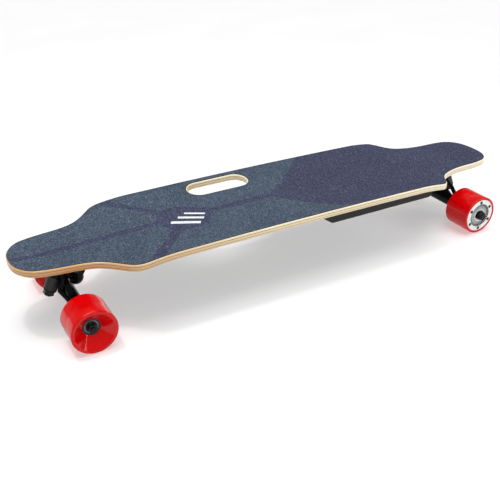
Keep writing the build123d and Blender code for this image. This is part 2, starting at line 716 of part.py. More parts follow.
with BuildPart() as motor_axle_nuts:
    for sy in (-1, 1):
        with BuildSketch(Plane.XZ.offset(-sy * (MB2 + MBW))):
            with Locations((-AXLE_X, WHEEL_R)):
                Circle(8.0)
        extrude(amount=-sy * 4.6)
        with BuildSketch(Plane.XZ.offset(-sy * (MB2 + MBW + 4.6))):
            with Locations((-AXLE_X, WHEEL_R)):
                RegularPolygon(9.8, 6)
        extrude(amount=-sy * 7.2)
        with BuildSketch(Plane.XZ.offset(-sy * (MB2 + MBW - 1))):
            with Locations((-AXLE_X, WHEEL_R)):
                Circle(MOTOR_AXLE_R + 0.02)
        extrude(amount=-sy * 16.0, mode=Mode.SUBTRACT)
motor_axle_nuts.part.label = "motor_axle_nuts"
export_step(motor_axle_nuts.part, "parts/motor_axle_nuts.step")

# ---------------------------------------------------------------------------
# Housing for the battery and the controller
# ---------------------------------------------------------------------------
FLANGE = 10.0
GASKET_T = 1.4
SEAT = DECK_T + 0.03 + GASKET_T          # flange top, below the wood's top

PORT_X, PORT_Z = -112.0, 93.0
BUTTON_X = -146.0
BUTTON_R = 6.0
HINGE_Y, HINGE_Z = -85.2, 103.4

with BuildPart() as enclosure_shell:
    with BuildSketch(Plane.XZ.offset(-BOX_HY)):
        with BuildLine():
            Polyline((BOX_X0, 118), (BOX_X0, 86.5), (BOX_X0 + 7, BOX_Z), (BOX_X1 - 22, BOX_Z), (BOX_X1, 94),
                     (BOX_X1, 118), close=True)
        make_face()
    extrude(amount=2 * BOX_HY)
    fillet(enclosure_shell.faces().filter_by(Axis.Z).sort_by(Axis.Z)[0].edges().filter_by(Axis.X), 5.0)
    with BuildSketch(Plane.XZ.offset(-(BOX_HY - WALL))):
        with BuildLine():
            Polyline((BOX_X0 + WALL, 120), (BOX_X0 + WALL, 87.5), (BOX_X0 + 8, BOX_Z + WALL),
                     (BOX_X1 - 22.9, BOX_Z + WALL), (BOX_X1 - WALL, 95.3), (BOX_X1 - WALL, 120), close=True)
        make_face()
    extrude(amount=2 * (BOX_HY - WALL), mode=Mode.SUBTRACT)
    # flange, then everything trimmed to follow the deck
    with BuildSketch(Plane.XY.offset(99.5)):
        with Locations(((BOX_X0 + BOX_X1) / 2, 0)):
            RectangleRounded(BOX_X1 - BOX_X0 + 2 * FLANGE, 2 * (BOX_HY + FLANGE), 8)
            Rectangle(BOX_X1 - BOX_X0 - 1.0, 2 * BOX_HY - 1.0, mode=Mode.SUBTRACT)
    extrude(amount=25.0)
    extrude(surface(SEAT), amount=60, dir=(0, 0, -1), mode=Mode.INTERSECT)
with BuildPart() as flange_trim:
    # the space under a 3 mm flange
    extrude(surface(SEAT + 3.0), amount=60, dir=(0, 0, -1))
    with BuildSketch(Plane.XY.offset(40)):
        with Locations(((BOX_X0 + BOX_X1) / 2, 0)):
            Rectangle(BOX_X1 - BOX_X0 + 40, 2 * BOX_HY + 40)
            Rectangle(BOX_X1 - BOX_X0, 2 * BOX_HY, mode=Mode.SUBTRACT)
    extrude(amount=90, mode=Mode.INTERSECT)
with BuildPart() as enclosure_shell_2:
    add(enclosure_shell.part)
    add(flange_trim.part, mode=Mode.SUBTRACT)
    # screw holes in the flange
    with BuildSketch(Plane.XY.offset(95)):
        for (x, y) in SCREW_XY:
            with Locations((x, y)):
                Circle(2.1)
    extrude(amount=25, mode=Mode.SUBTRACT)
    # window under the cooling plate and its four screws
    with BuildSketch(Plane.XY.offset(BOX_Z - 1)):
        with Locations((-230, 0)):
            RectangleRounded(52, 92, 4)
            with GridLocations(60, 100, 2, 2):
                Circle(1.55)
    extrude(amount=WALL + 1, mode=Mode.SUBTRACT)
    # sunk seats for the plate's screw heads
    with BuildSketch(Plane.XY.offset(BOX_Z - 1)):
        with Locations((-230, 0)):
            with GridLocations(60, 100, 2, 2):
                Circle(3.1)
    extrude(amount=2.7, mode=Mode.SUBTRACT)
    # button and charge port holes in the right wall
    with BuildSketch(Plane.XZ.offset(BOX_HY - 5)):
        with Locations((BUTTON_X, PORT_Z)):
            Circle(BUTTON_R + 0.08)
        with Locations((PORT_X, PORT_Z)):
            Circle(6.5)
    extrude(amount=8, mode=Mode.SUBTRACT)
    # gland hole in the rear wall
    with BuildSketch(Plane.YZ.offset(BOX_X0 - 2)):
        with Locations((0, 93.8)):
            Circle(4.5)
    extrude(amount=8, mode=Mode.SUBTRACT)
enclosure_shell_2.part.label = "enclosure_shell"
export_step(enclosure_shell_2.part, "parts/enclosure_shell.step")

with BuildPart() as enclosure_gasket:
    extrude(surface(DECK_T + 0.02), amount=GASKET_T, dir=(0, 0, -1))
    with BuildSketch(Plane.XY.offset(40)):
        with Locations(((BOX_X0 + BOX_X1) / 2, 0)):
            RectangleRounded(BOX_X1 - BOX_X0 + 2 * FLANGE - 1, 2 * (BOX_HY + FLANGE) - 1, 8)
            Rectangle(BOX_X1 - BOX_X0 - 4.0, 2 * BOX_HY - 4.0, mode=Mode.SUBTRACT)
        for (x, y) in SCREW_XY:
            with Locations((x, y)):
                Circle(2.1, mode=Mode.SUBTRACT)
    extrude(amount=90, mode=Mode.INTERSECT)
enclosure_gasket.part.label = "enclosure_gasket"
export_step(enclosure_gasket.part, "parts/enclosure_gasket.step")

with BuildPart() as enclosure_screws:
    for (x, y) in SCREW_XY:
        zf = top_z(x, y) - SEAT - 3.0 - 0.4      # just under the flange
        with BuildSketch(Plane.XY.offset(zf - 2.4)):
            with Locations((x, y)):
                Circle(3.6)
        extrude(amount=2.4)
        with BuildSketch(Plane.XY.offset(zf)):
            with Locations((x, y)):
                Circle(1.9)
        extrude(amount=top_z(x, y) - 4.0 - zf)
        with BuildSketch(Plane.XY.offset(zf - 2.5)):
            with Locations((x, y)):
                RegularPolygon(1.5, 6)
        extrude(amount=1.4, mode=Mode.SUBTRACT)
enclosure_screws.part.label = "enclosure_screws"
export_step(enclosure_screws.part, "parts/enclosure_screws.step")

# battery: ten 18 x 65 cells in two rows of five
FLOOR = BOX_Z + WALL
CELL_R, CELL_L = 9.15, 65.0
CELL_Z = FLOOR + 10.4
CELL_X = [-174.0 + 19.0 * i for i in range(5)]

with BuildPart() as battery_cells:
    for y in (-66.5, 1.5):
        with BuildSketch(Plane.XZ.offset(-y)):
            for x in CELL_X:
                with Locations((x, CELL_Z)):
                    Circle(CELL_R)
        extrude(amount=-CELL_L)
battery_cells.part.label = "battery_cells"
export_step(battery_cells.part, "parts/battery_cells.step")

with BuildPart() as battery_frame:
    for y in (-62.0, -8.0, 8.0, 62.0):
        with BuildSketch(Plane.XZ.offset(-(y - 1.5))):
            with Locations((CELL_X[2], CELL_Z - 0.05)):
                Rectangle(101.0, 20.7)
            for x in CELL_X:
                with Locations((x, CELL_Z)):
                    Circle(CELL_R + 0.02, mode=Mode.SUBTRACT)
        extrude(amount=-3.0)
battery_frame.part.label = "battery_frame"
export_step(battery_frame.part, "parts/battery_frame.step")

with BuildPart() as battery_links:
    for y in (-67.0, -1.5, 1.1, 66.5):
        for i in (0, 2):
            with BuildSketch(Plane.XZ.offset(-y)):
                with Locations((CELL_X[i] + 9.5, CELL_Z)):
                    Rectangle(28.0, 7.0)
            extrude(amount=-0.4)
battery_links.part.label = "battery_links"
export_step(battery_links.part, "parts/battery_links.step")

with BuildPart() as battery_board:
    with BuildSketch(Plane.XY.offset(FLOOR + 21.6)):
        with Locations((-136.0, 0)):
            Rectangle(60, 18)
    extrude(amount=1.6)
battery_board.part.label = "battery_board"
export_step(battery_board.part, "parts/battery_board.step")

with BuildPart() as cooling_plate:
    with BuildSketch(Plane.XY.offset(FLOOR)):
        with Locations((-230, 0)):
            RectangleRounded(68, 108, 5)
            with GridLocations(60, 100, 2, 2):
                Circle(1.5, mode=Mode.SUBTRACT)
    extrude(amount=3.0)
    # fins that show in the window
    with BuildSketch(Plane.XY.offset(FLOOR - 2.0)):
        with Locations((-230, 0)):
            with GridLocations(0, 7.0, 1, 13):
                Rectangle(48, 2.2)
    extrude(amount=2.0)
cooling_plate.part.label = "cooling_plate"
export_step(cooling_plate.part, "parts/cooling_plate.step")

with BuildPart() as cooling_plate_screws:
    with BuildSketch(Plane.XY.offset(BOX_Z + 0.1)):
        with Locations((-230, 0)):
            with GridLocations(60, 100, 2, 2):
                Circle(2.8)
    extrude(amount=1.55)
    with BuildSketch(Plane.XY.offset(BOX_Z + 0.1)):
        with Locations((-230, 0)):
            with GridLocations(60, 100, 2, 2):
                Circle(1.5)
    extrude(amount=4.9)
    with BuildSketch(Plane.XY.offset(BOX_Z)):
        with Locations((-230, 0)):
            with GridLocations(60, 100, 2, 2):
                RegularPolygon(1.2, 6)
    extrude(amount=1.0, mode=Mode.SUBTRACT)
cooling_plate_screws.part.label = "cooling_plate_screws"
export_step(cooling_plate_screws.part, "parts/cooling_plate_screws.step")

with BuildPart() as controller_board:
    with BuildSketch(Plane.XY.offset(FLOOR + 8.0)):
        with Locations((-234, 0)):
            RectangleRounded(72, 116, 2)
    extrude(amount=1.6)
controller_board.part.label = "controller_board"
export_step(controller_board.part, "parts/controller_board.step")

with BuildPart() as controller_parts:
    # power transistors between the board and the plate
    with BuildSketch(Plane.XY.offset(FLOOR + 3.0)):
        with Locations((-230, 0)):
            with GridLocations(36, 16, 2, 6):
                Rectangle(15, 10)
    extrude(amount=5.0)
    # capacitors on top
    with BuildSketch(Plane.XY.offset(FLOOR + 9.6)):
        with Locations((-252, 0)):
            with GridLocations(0, 26, 1, 4):
                Circle(5.0)
    extrude(amount=12.0)
    # radio module and connector blocks
    with BuildSketch(Plane.XY.offset(FLOOR + 9.6)):
        with Locations((-214, 30)):
            Rectangle(18, 26)
        with Locations((-214, -28)):
            Rectangle(14, 34)
    extrude(amount=6.0)
controller_parts.part.label = "controller_parts"
export_step(controller_parts.part, "parts/controller_parts.step")

with BuildPart() as cable_gland:
    # faces the tail; a stepped gland with a flange on both sides of the wall
    with BuildSketch(Plane.YZ.offset(BOX_X0 - 5.0)):
        with Locations((0, 93.8)):
            Circle(6.2)
    extrude(amount=5.0)
    with BuildSketch(Plane.YZ.offset(BOX_X0)):
        with Locations((0, 93.8)):
            Circle(4.48)
    extrude(amount=WALL)
    with BuildSketch(Plane.YZ.offset(BOX_X0 + WALL)):
        with Locations((0, 93.8)):
            Circle(6.2)
    extrude(amount=2.5)
    with BuildSketch(Plane.YZ.offset(BOX_X0 - 6.0)):
        with Locations((0, 93.8)):
            Circle(3.0)
    extrude(amount=12.0, mode=Mode.SUBTRACT)
cable_gland.part.label = "cable_gland"
export_step(cable_gland.part, "parts/cable_gland.step")

with BuildPart() as charge_socket:
    with BuildSketch(Plane.XZ.offset(BOX_HY - 12)):
        with Locations((PORT_X, PORT_Z)):
            Circle(6.45)
            Circle(4.0, mode=Mode.SUBTRACT)
    extrude(amount=12.0)
    with BuildSketch(Plane.XZ.offset(BOX_HY - 12)):
        with Locations((PORT_X, PORT_Z)):
            Circle(6.45)
    extrude(amount=2.0)
    with BuildSketch(Plane.XZ.offset(BOX_HY)):
        with Locations((PORT_X, PORT_Z)):
            Circle(8.5)
            Circle(4.0, mode=Mode.SUBTRACT)
    extrude(amount=1.2)
    # two ears and the hinge pin of the cap
    for sx in (-1, 1):
        with BuildSketch(Plane.YZ.offset(PORT_X + sx * 5.4 - 0.9)):
            with BuildLine():
                Polyline((-BOX_HY, PORT_Z + 4), (-BOX_HY - 1.2, PORT_Z + 4), (-BOX_HY - 1.2, HINGE_Z - 3),
                         (HINGE_Y - 1.8, HINGE_Z - 1.0), (HINGE_Y - 1.8, HINGE_Z + 1.6), (-BOX_HY, HINGE_Z + 1.6),
                         close=True)
            make_face()
        extrude(amount=1.8)
    with BuildSketch(Plane.YZ.offset(PORT_X - 5.4)):
        with Locations((HINGE_Y, HINGE_Z)):
            Circle(1.0)
    extrude(amount=10.8)
charge_socket.part.label = "charge_socket"
export_step(charge_socket.part, "parts/charge_socket.step")

with BuildPart() as charge_cap:
    with BuildSketch(Plane.XZ.offset(BOX_HY + 1.5)):
        with Locations((PORT_X, PORT_Z)):
            Circle(8.5)
    extrude(amount=2.4)
    with BuildSketch(Plane.XZ.offset(BOX_HY + 2.0)):
        with Locations((PORT_X, (PORT_Z + HINGE_Z) / 2 + 3)):
            Rectangle(7.0, 6.0)
    extrude(amount=1.9)
    with BuildSketch(Plane.YZ.offset(PORT_X - 4.2)):
        with Locations((HINGE_Y, HINGE_Z)):
            Circle(2.1)
    extrude(amount=8.4)
    with BuildSketch(Plane.YZ.offset(PORT_X - 5.0)):
        with Locations((HINGE_Y, HINGE_Z)):
            Circle(1.0 + 0.06)
    extrude(amount=10.0, mode=Mode.SUBTRACT)
charge_cap.part.label = "charge_cap"
export_step(charge_cap.part, "parts/charge_cap.step")

with BuildPart() as power_button:
    with BuildSketch(Plane.XZ.offset(BOX_HY - WALL - 1.6)):
        with Locations((BUTTON_X, PORT_Z)):
            Circle(BUTTON_R)
    extrude(amount=WALL + 1.6 + 1.8)
    fillet(power_button.faces().sort_by(Axis.Y)[0].edges(), 0.6)
    with BuildSketch(Plane.XZ.offset(BOX_HY - WALL - 1.6)):
        with Locations((BUTTON_X, PORT_Z)):
            Circle(7.6)
    extrude(amount=1.55)
power_button.part.label = "power_button"
export_step(power_button.part, "parts/power_button.step")

with BuildPart() as power_switch:
    # switch body standing on the housing floor behind the button
    with BuildSketch(Plane.XY.offset(FLOOR)):
        with Locations((BUTTON_X, -BOX_HY + WALL + 5.9)):
            Rectangle(14, 5.4)
    extrude(amount=17.0)
power_switch.part.label = "power_switch"
export_step(power_switch.part, "parts/power_switch.step")
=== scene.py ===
import math

import bmesh
import bpy
import numpy as np
from mathutils import Matrix, Vector
from mathutils.geometry import delaunay_2d_cdt


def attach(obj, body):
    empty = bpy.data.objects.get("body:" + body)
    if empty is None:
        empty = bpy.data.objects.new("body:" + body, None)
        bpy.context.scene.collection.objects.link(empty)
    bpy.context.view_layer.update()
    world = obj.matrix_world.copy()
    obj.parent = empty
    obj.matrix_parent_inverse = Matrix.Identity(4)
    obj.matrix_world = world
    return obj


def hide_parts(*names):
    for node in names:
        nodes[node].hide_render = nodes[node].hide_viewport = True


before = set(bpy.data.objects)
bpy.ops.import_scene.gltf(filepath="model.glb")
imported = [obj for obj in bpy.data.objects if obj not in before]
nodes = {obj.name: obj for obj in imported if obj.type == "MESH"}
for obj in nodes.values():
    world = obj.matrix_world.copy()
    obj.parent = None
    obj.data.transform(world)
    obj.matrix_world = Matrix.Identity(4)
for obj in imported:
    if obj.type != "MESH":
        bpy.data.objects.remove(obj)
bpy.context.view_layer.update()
MM = 0.001

# ---------------------------------------------------------------------------
# Camera
# ---------------------------------------------------------------------------
cam_data = bpy.data.cameras.new("view_camera")
cam = bpy.data.objects.new("view_camera", cam_data)
bpy.context.scene.collection.objects.link(cam)
yaw, pitch, roll = math.radians(-119.1), math.radians(29.1), math.radians(-0.2)
fwd = Vector((math.cos(pitch) * math.cos(yaw), math.cos(pitch) * math.sin(yaw), -math.sin(pitch)))
right = Vector((math.sin(yaw), -math.cos(yaw), 0.0))
up = right.cross(fwd)
r2 = right * math.cos(roll) + up * math.sin(roll)
u2 = -right * math.sin(roll) + up * math.cos(roll)
rot = Matrix((r2, u2, -fwd)).transposed()
cam.matrix_world = Matrix.Translation((0.59879, 0.98123, 0.64633)) @ rot.to_4x4()
cam_data.sensor_width = 36.0
cam_data.lens = 722.26 / 500.0 * 36.0
cam_data.clip_start, cam_data.clip_end = 0.02, 50.0
bpy.context.scene.camera = cam


# ---------------------------------------------------------------------------
# Material helpers: object coordinates in millimetres
# ---------------------------------------------------------------------------
class Mat:
    def __init__(self, name):
        self.m = bpy.data.materials.new(name)
        self.m.use_nodes = True
        self.t = self.m.node_tree
        self.t.nodes.clear()
        self.out = self.t.nodes.new("ShaderNodeOutputMaterial")
        self.b = self.t.nodes.new("ShaderNodeBsdfPrincipled")
        self.t.links.new(self.b.outputs[0], self.out.inputs[0])
        tc = self.t.nodes.new("ShaderNodeTexCoord")
        sc = self.t.nodes.new("ShaderNodeVectorMath")
        sc.operation = "SCALE"
        sc.inputs["Scale"].default_value = 1000.0
        self.t.links.new(tc.outputs["Object"], sc.inputs[0])
        self.co = sc.outputs[0]

    def const(self, **kw):
        for k, v in kw.items():
            self.b.inputs[k.replace("_", " ")].default_value = v
        return self

    def link(self, a, b):
        self.t.links.new(a, b)

    def put(self, name, sock):
        self.link(sock, self.b.inputs[name])

    def stretch(self, sx, sy, sz, rot=(0, 0, 0)):
        n = self.t.nodes.new("ShaderNodeMapping")
        n.inputs["Scale"].default_value = (sx, sy, sz)
        n.inputs["Rotation"].default_value = rot
        self.link(self.co, n.inputs["Vector"])
        return n.outputs[0]

    def noise(self, scale, detail=2.0, rough=0.5, vec=None, distort=0.0):
        n = self.t.nodes.new("ShaderNodeTexNoise")
        n.inputs["Scale"].default_value = scale
        n.inputs["Detail"].default_value = detail
        n.inputs["Roughness"].default_value = rough
        n.inputs["Distortion"].default_value = distort
        self.link(vec or self.co, n.inputs["Vector"])
        return n.outputs["Fac"]

    def cells(self, scale, vec=None, feature="F1", rand=1.0, out="Distance"):
        n = self.t.nodes.new("ShaderNodeTexVoronoi")
        n.feature = feature
        n.inputs["Scale"].default_value = scale
        n.inputs["Randomness"].default_value = rand
        self.link(vec or self.co, n.inputs["Vector"])
        return n.outputs[out]

    def math(self, op, a, b=None, clamp=False):
        n = self.t.nodes.new("ShaderNodeMath")
        n.operation = op
        n.use_clamp = clamp
        for i, v in enumerate((a, b)):
            if v is None:
                continue
            if isinstance(v, (int, float)):
                n.inputs[i].default_value = v
            else:
                self.link(v, n.inputs[i])
        return n.outputs[0]

    def ramp(self, fac, stops, mode="LINEAR"):
        n = self.t.nodes.new("ShaderNodeValToRGB")
        n.color_ramp.interpolation = mode
        e = n.color_ramp.elements
        while len(e) > 1:
            e.remove(e[-1])
        e[0].position, e[0].color = stops[0][0], tuple(stops[0][1]) + (1.0,)
        for p, c in stops[1:]:
            x = e.new(p)
            x.color = tuple(c) + (1.0,)
        self.link(fac, n.inputs["Fac"])
        return n.outputs["Color"]

    def span(self, v, a, b, c, d):
        n = self.t.nodes.new("ShaderNodeMapRange")
        for i, x in zip(("From Min", "From Max", "To Min", "To Max"), (a, b, c, d)):
            n.inputs[i].default_value = x
        self.link(v, n.inputs["Value"])
        return n.outputs[0]

    def mix(self, fac, a, b, kind="MIX"):
        n = self.t.nodes.new("ShaderNodeMix")
        n.data_type = "RGBA"
        n.blend_type = kind
        for sock, v in ((n.inputs["Factor"], fac), (n.inputs["A"], a), (n.inputs["B"], b)):
            pass
        ins = {i.identifier: i for i in n.inputs}
        for ident, v in (("Factor_Float", fac), ("A_Color", a), ("B_Color", b)):
            if isinstance(v, (int, float)):
                ins[ident].default_value = v
            elif isinstance(v, tuple):
                ins[ident].default_value = v + (1.0,)
            else:
                self.link(v, ins[ident])
        return [o for o in n.outputs if o.identifier == "Result_Color"][0]

    def bump(self, height, distance_mm, strength=1.0, normal=None):
        n = self.t.nodes.new("ShaderNodeBump")
        n.inputs["Strength"].default_value = strength
        n.inputs["Distance"].default_value = distance_mm * MM
        self.link(height, n.inputs["Height"])
        if normal is not None:
            self.link(normal, n.inputs["Normal"])
        return n.outputs[0]

    def sep(self):
        n = self.t.nodes.new("ShaderNodeSeparateXYZ")
        self.link(self.co, n.inputs[0])
        return n.outputs

    def attr(self, name):
        n = self.t.nodes.new("ShaderNodeAttribute")
        n.attribute_name = name
        return n.outputs["Fac"]


def plain(name, c1, c2, rough, spread=0.06, metal=0.0, cell=0.5, grain=6.0, depth=0.02, **kw):
    """Two close colours in slow clouds, uneven gloss, and a fine surface texture."""
    g = Mat(name)
    g.const(Metallic=metal, **kw)
    cloud = g.noise(cell * 0.12, 3.0, 0.55)
    fine = g.noise(cell, 4.0, 0.6)
    both = g.math("ADD", g.math("MULTIPLY", cloud, 0.6), g.math("MULTIPLY", fine, 0.4))
    g.put("Base Color", g.ramp(both, [(0.3, c1), (0.7, c2)]))
    g.put("Roughness", g.span(fine, 0.25, 0.75, rough - spread, rough + spread))
    g.put("Normal", g.bump(g.noise(grain, 3.0, 0.6), depth))
    return g


def turned(name, c1, c2, rough, centre_x, centre_z, metal=1.0, depth=0.004, **kw):
    """Metal turned on a lathe about an axle: fine rings round the given centre."""
    g = Mat(name)
    g.const(Metallic=metal, **kw)
    o = g.sep()
    dx = g.math("SUBTRACT", o[0], centre_x)
    dz = g.math("SUBTRACT", o[2], centre_z)
    r = g.math("SQRT", g.math("ADD", g.math("MULTIPLY", dx, dx), g.math("MULTIPLY", dz, dz)))
    ring = g.t.nodes.new("ShaderNodeCombineXYZ")
    g.link(g.math("MULTIPLY", r, 9.0), ring.inputs[0])
    g.link(g.math("MULTIPLY", o[1], 9.0), ring.inputs[1])
    lines = g.noise(1.0, 3.0, 0.7, vec=ring.outputs[0])
    cloud = g.noise(0.25, 3.0, 0.6)
    g.put("Base Color", g.ramp(cloud, [(0.3, c1), (0.7, c2)]))
    g.put("Roughness", g.span(lines, 0.2, 0.8, rough - 0.07, rough + 0.09))
    g.put("Normal", g.bump(lines, depth))
    return g


def edge_worn(g, base, worn, width_mm=0.5, amount=0.5):
    """Lighter tone where the surface turns sharply, broken up by noise."""
    bev = g.t.nodes.new("ShaderNodeBevel")
    bev.samples = 4
    bev.inputs["Radius"].default_value = width_mm * MM
    geo = g.t.nodes.new("ShaderNodeNewGeometry")
    dot = g.t.nodes.new("ShaderNodeVectorMath")
    dot.operation = "DOT_PRODUCT"
    g.link(bev.outputs[0], dot.inputs[0])
    g.link(geo.outputs["Normal"], dot.inputs[1])
    edge = g.span(dot.outputs["Value"], 0.75, 0.99, 1.0, 0.0)
    fac = g.math("MULTIPLY", edge, g.span(g.noise(0.8, 4.0, 0.7), 0.42, 0.62, 0.0, amount), clamp=True)
    return g.mix(fac, base, worn)


# ---------------------------------------------------------------------------
# Materials
# ---------------------------------------------------------------------------
M = {}

# cast polyurethane: saturated red, glossy, faint depth
g = Mat("urethane_red")
g.const(Coat_Weight=0.08, Coat_Roughness=0.05, Subsurface_Weight=0.03, Subsurface_Scale=0.003, IOR=1.46, Specular_IOR_Level=0.30)
g.b.inputs["Subsurface Radius"].default_value = (1.0, 0.1, 0.06)
cloud = g.noise(0.06, 3.0, 0.5)
speck = g.noise(1.5, 3.0, 0.6)
red = g.ramp(cloud, [(0.3, (0.56, 0.0004, 0.0012)), (0.7, (0.64, 0.0006, 0.0020))])
g.put("Base Color", g.mix(g.span(speck, 0.60, 0.78, 0.0, 0.35), red, (0.48, 0.0003, 0.0010)))
g.put("Roughness", g.span(g.noise(0.35, 4.0, 0.6), 0.25, 0.75, 0.05, 0.12))
g.put("Normal", g.bump(g.noise(0.25, 2.0, 0.5), 0.05, 0.15))
M["urethane"] = g.m

# glass filled nylon core
M["core"] = plain("core_black", (0.004, 0.004, 0.0045), (0.010, 0.010, 0.011), 0.42, 0.08, cell=0.8, grain=3.5, depth=0.02).m

# powder coated castings
g = Mat("truck_powder_coat")
cloud = g.noise(0.12, 3.0, 0.5)
base = g.ramp(cloud, [(0.3, (0.0012, 0.0012, 0.0014)), (0.7, (0.0032, 0.0032, 0.0034))])
g.put("Base Color", edge_worn(g, base, (0.016, 0.016, 0.017), 0.6, 0.3))
g.put("Roughness", g.span(g.noise(1.2, 3.0, 0.6), 0.3, 0.7, 0.24, 0.36))
g.put("Normal", g.bump(g.noise(1.6, 3.0, 0.55), 0.04, 0.6))
g.const(Specular_IOR_Level=0.12)
M["truck"] = g.m

M["bushing"] = plain("bushing_urethane", (0.002, 0.002, 0.0024), (0.006, 0.006, 0.0065), 0.5, 0.08, cell=0.5, grain=2.0, depth=0.04,
                     Subsurface_Weight=0.05).m
M["riser"] = plain("riser_rubber", (0.006, 0.006, 0.006), (0.014, 0.014, 0.014), 0.75, 0.08, cell=1.2, grain=3.0, depth=0.06).m
M["black_steel"] = plain("steel_black_oxide", (0.004, 0.004, 0.0045), (0.012, 0.012, 0.013), 0.34, 0.08, metal=0.15, cell=0.8, grain=5.0, Specular_IOR_Level=0.25,
                         depth=0.008).m
M["steel"] = plain("steel_zinc", (0.42, 0.42, 0.43), (0.60, 0.60, 0.60), 0.30, 0.08, metal=1.0, cell=0.7, grain=6.0, depth=0.006).m
M["bearing_f"] = turned("bearing_steel_front", (0.42, 0.42, 0.44), (0.58, 0.58, 0.60), 0.26, 379.5, 36.0).m
M["bearing_r"] = turned("bearing_steel_rear", (0.42, 0.42, 0.44), (0.58, 0.58, 0.60), 0.26, -379.5, 36.0).m
M["shield"] = turned("bearing_shield", (0.006, 0.006, 0.0065), (0.014, 0.014, 0.015), 0.42, 379.5, 36.0, metal=0.0, Specular_IOR_Level=0.3).m
# steel races coloured far darker than the bearing steel above: painted shade of the wheel recess
M["race_dark"] = turned("bearing_race_painted_shade", (0.12, 0.13, 0.14), (0.20, 0.21, 0.22), 0.30, 379.5, 36.0).m
M["axle_black"] = plain("axle_black", (0.003, 0.003, 0.0034), (0.008, 0.008, 0.009), 0.34, 0.06, cell=0.8, grain=5.0, depth=0.01, Specular_IOR_Level=0.18).m
# near-black: painted shadow in the cover's slot grooves, and the real black of the socket screw heads
M["vent_black"] = plain("vent_painted_shadow_and_screw_black", (0.004, 0.004, 0.004), (0.010, 0.010, 0.010), 0.6, 0.08, cell=1.0, grain=3.0, depth=0.02,
                        Specular_IOR_Level=0.2).m

# white painted end cover
g = Mat("cover_white_paint")
cloud = g.noise(0.15, 3.0, 0.5)
base = g.ramp(cloud, [(0.3, (0.78, 0.78, 0.77)), (0.7, (0.86, 0.86, 0.85))])
g.put("Base Color", edge_worn(g, base, (0.62, 0.61, 0.60), 0.4, 0.4))
g.put("Roughness", g.span(g.noise(1.0, 3.0, 0.6), 0.3, 0.7, 0.26, 0.36))
g.put("Normal", g.bump(g.noise(1.8, 3.0, 0.5), 0.02, 0.6))
g.const(Coat_Weight=0.2, Coat_Roughness=0.15)
M["cover"] = g.m

# grey dish inside the white cover: painted shade of the recess
M["cover_dish"] = turned("cover_dish_grey", (0.34, 0.36, 0.36), (0.48, 0.50, 0.50), 0.34, -379.5, 36.0, metal=0.0, depth=0.006).m
M["motor_alloy"] = turned("motor_alloy", (0.30, 0.30, 0.31), (0.42, 0.42, 0.43), 0.36, -379.5, 36.0).m
M["magnet"] = plain("magnet_nickel", (0.45, 0.44, 0.42), (0.58, 0.57, 0.54), 0.25, 0.05, metal=1.0, cell=0.8, grain=6.0, depth=0.004).m

g = Mat("stator_laminations")
o = g.sep()
stack = g.math("FRACT", g.math("MULTIPLY", o[1], 2.0))
g.const(Metallic=0.8)
g.put("Base Color", g.ramp(stack, [(0.0, (0.09, 0.09, 0.10)), (0.78, (0.17, 0.17, 0.18)), (0.9, (0.03, 0.03, 0.03))]))
g.put("Roughness", g.span(g.noise(1.5, 3.0), 0.3, 0.7, 0.42, 0.58))
g.put("Normal", g.bump(stack, 0.05))
M["laminations"] = g.m

g = Mat("winding_copper")
strand = g.t.nodes.new("ShaderNodeTexWave")
strand.wave_type = "BANDS"
strand.bands_direction = "Z"
strand.inputs["Scale"].default_value = 1.2
strand.inputs["Distortion"].default_value = 0.6
g.link(g.co, strand.inputs["Vector"])
g.const(Metallic=1.0)
g.put("Base Color", g.ramp(strand.outputs["Fac"], [(0.0, (0.30, 0.09, 0.03)), (1.0, (0.72, 0.30, 0.12))]))
g.put("Roughness", g.span(g.noise(2.0, 3.0), 0.3, 0.7, 0.22, 0.38))
g.put("Normal", g.bump(strand.outputs["Fac"], 0.12))
M["copper"] = g.m

# moulded housing: fine spark-eroded grain
g = Mat("housing_moulded")
cloud = g.noise(0.05, 3.0, 0.55)
base = g.ramp(cloud, [(0.3, (0.004, 0.004, 0.0045)), (0.7, (0.009, 0.009, 0.0095))])
g.const(Specular_IOR_Level=0.3)
g.put("Base Color", edge_worn(g, base, (0.025, 0.025, 0.027), 0.5, 0.4))
g.put("Roughness", g.span(g.noise(0.9, 4.0, 0.65), 0.3, 0.7, 0.40, 0.54))
g.put("Normal", g.bump(g.cells(1.7), 0.05, 0.6, g.bump(g.noise(3.5, 3.0, 0.6), 0.03, 0.6)))
M["housing"] = g.m

M["foam"] = plain("gasket_foam", (0.012, 0.012, 0.012), (0.035, 0.035, 0.035), 0.9, 0.05, cell=2.5, grain=3.0, depth=0.15).m
M["cell"] = plain("cell_wrap", (0.02, 0.16, 0.20), (0.03, 0.22, 0.27), 0.35, 0.06, cell=0.4, grain=0.8, depth=0.05, Coat_Weight=0.3).m
M["frame_plastic"] = plain("cell_holder", (0.02, 0.02, 0.021), (0.04, 0.04, 0.042), 0.5, 0.08, cell=0.6, grain=3.0, depth=0.03).m
M["nickel"] = plain("nickel_strip", (0.50, 0.47, 0.42), (0.64, 0.61, 0.55), 0.28, 0.06, metal=1.0, cell=0.6, grain=4.0, depth=0.01).m

g = Mat("circuit_board")
track = g.cells(0.35, feature="DISTANCE_TO_EDGE", rand=0.3)
g.put("Base Color", g.ramp(track, [(0.0, (0.05, 0.16, 0.06)), (0.06, (0.008, 0.06, 0.022)), (1.0, (0.012, 0.075, 0.028))]))
g.put("Roughness", g.span(g.noise(1.0, 3.0), 0.3, 0.7, 0.28, 0.42))
g.put("Normal", g.bump(track, 0.05))
M["board"] = g.m

M["parts_black"] = plain("component_epoxy", (0.012, 0.012, 0.013), (0.030, 0.030, 0.032), 0.45, 0.08, cell=0.8, grain=4.0, depth=0.03).m

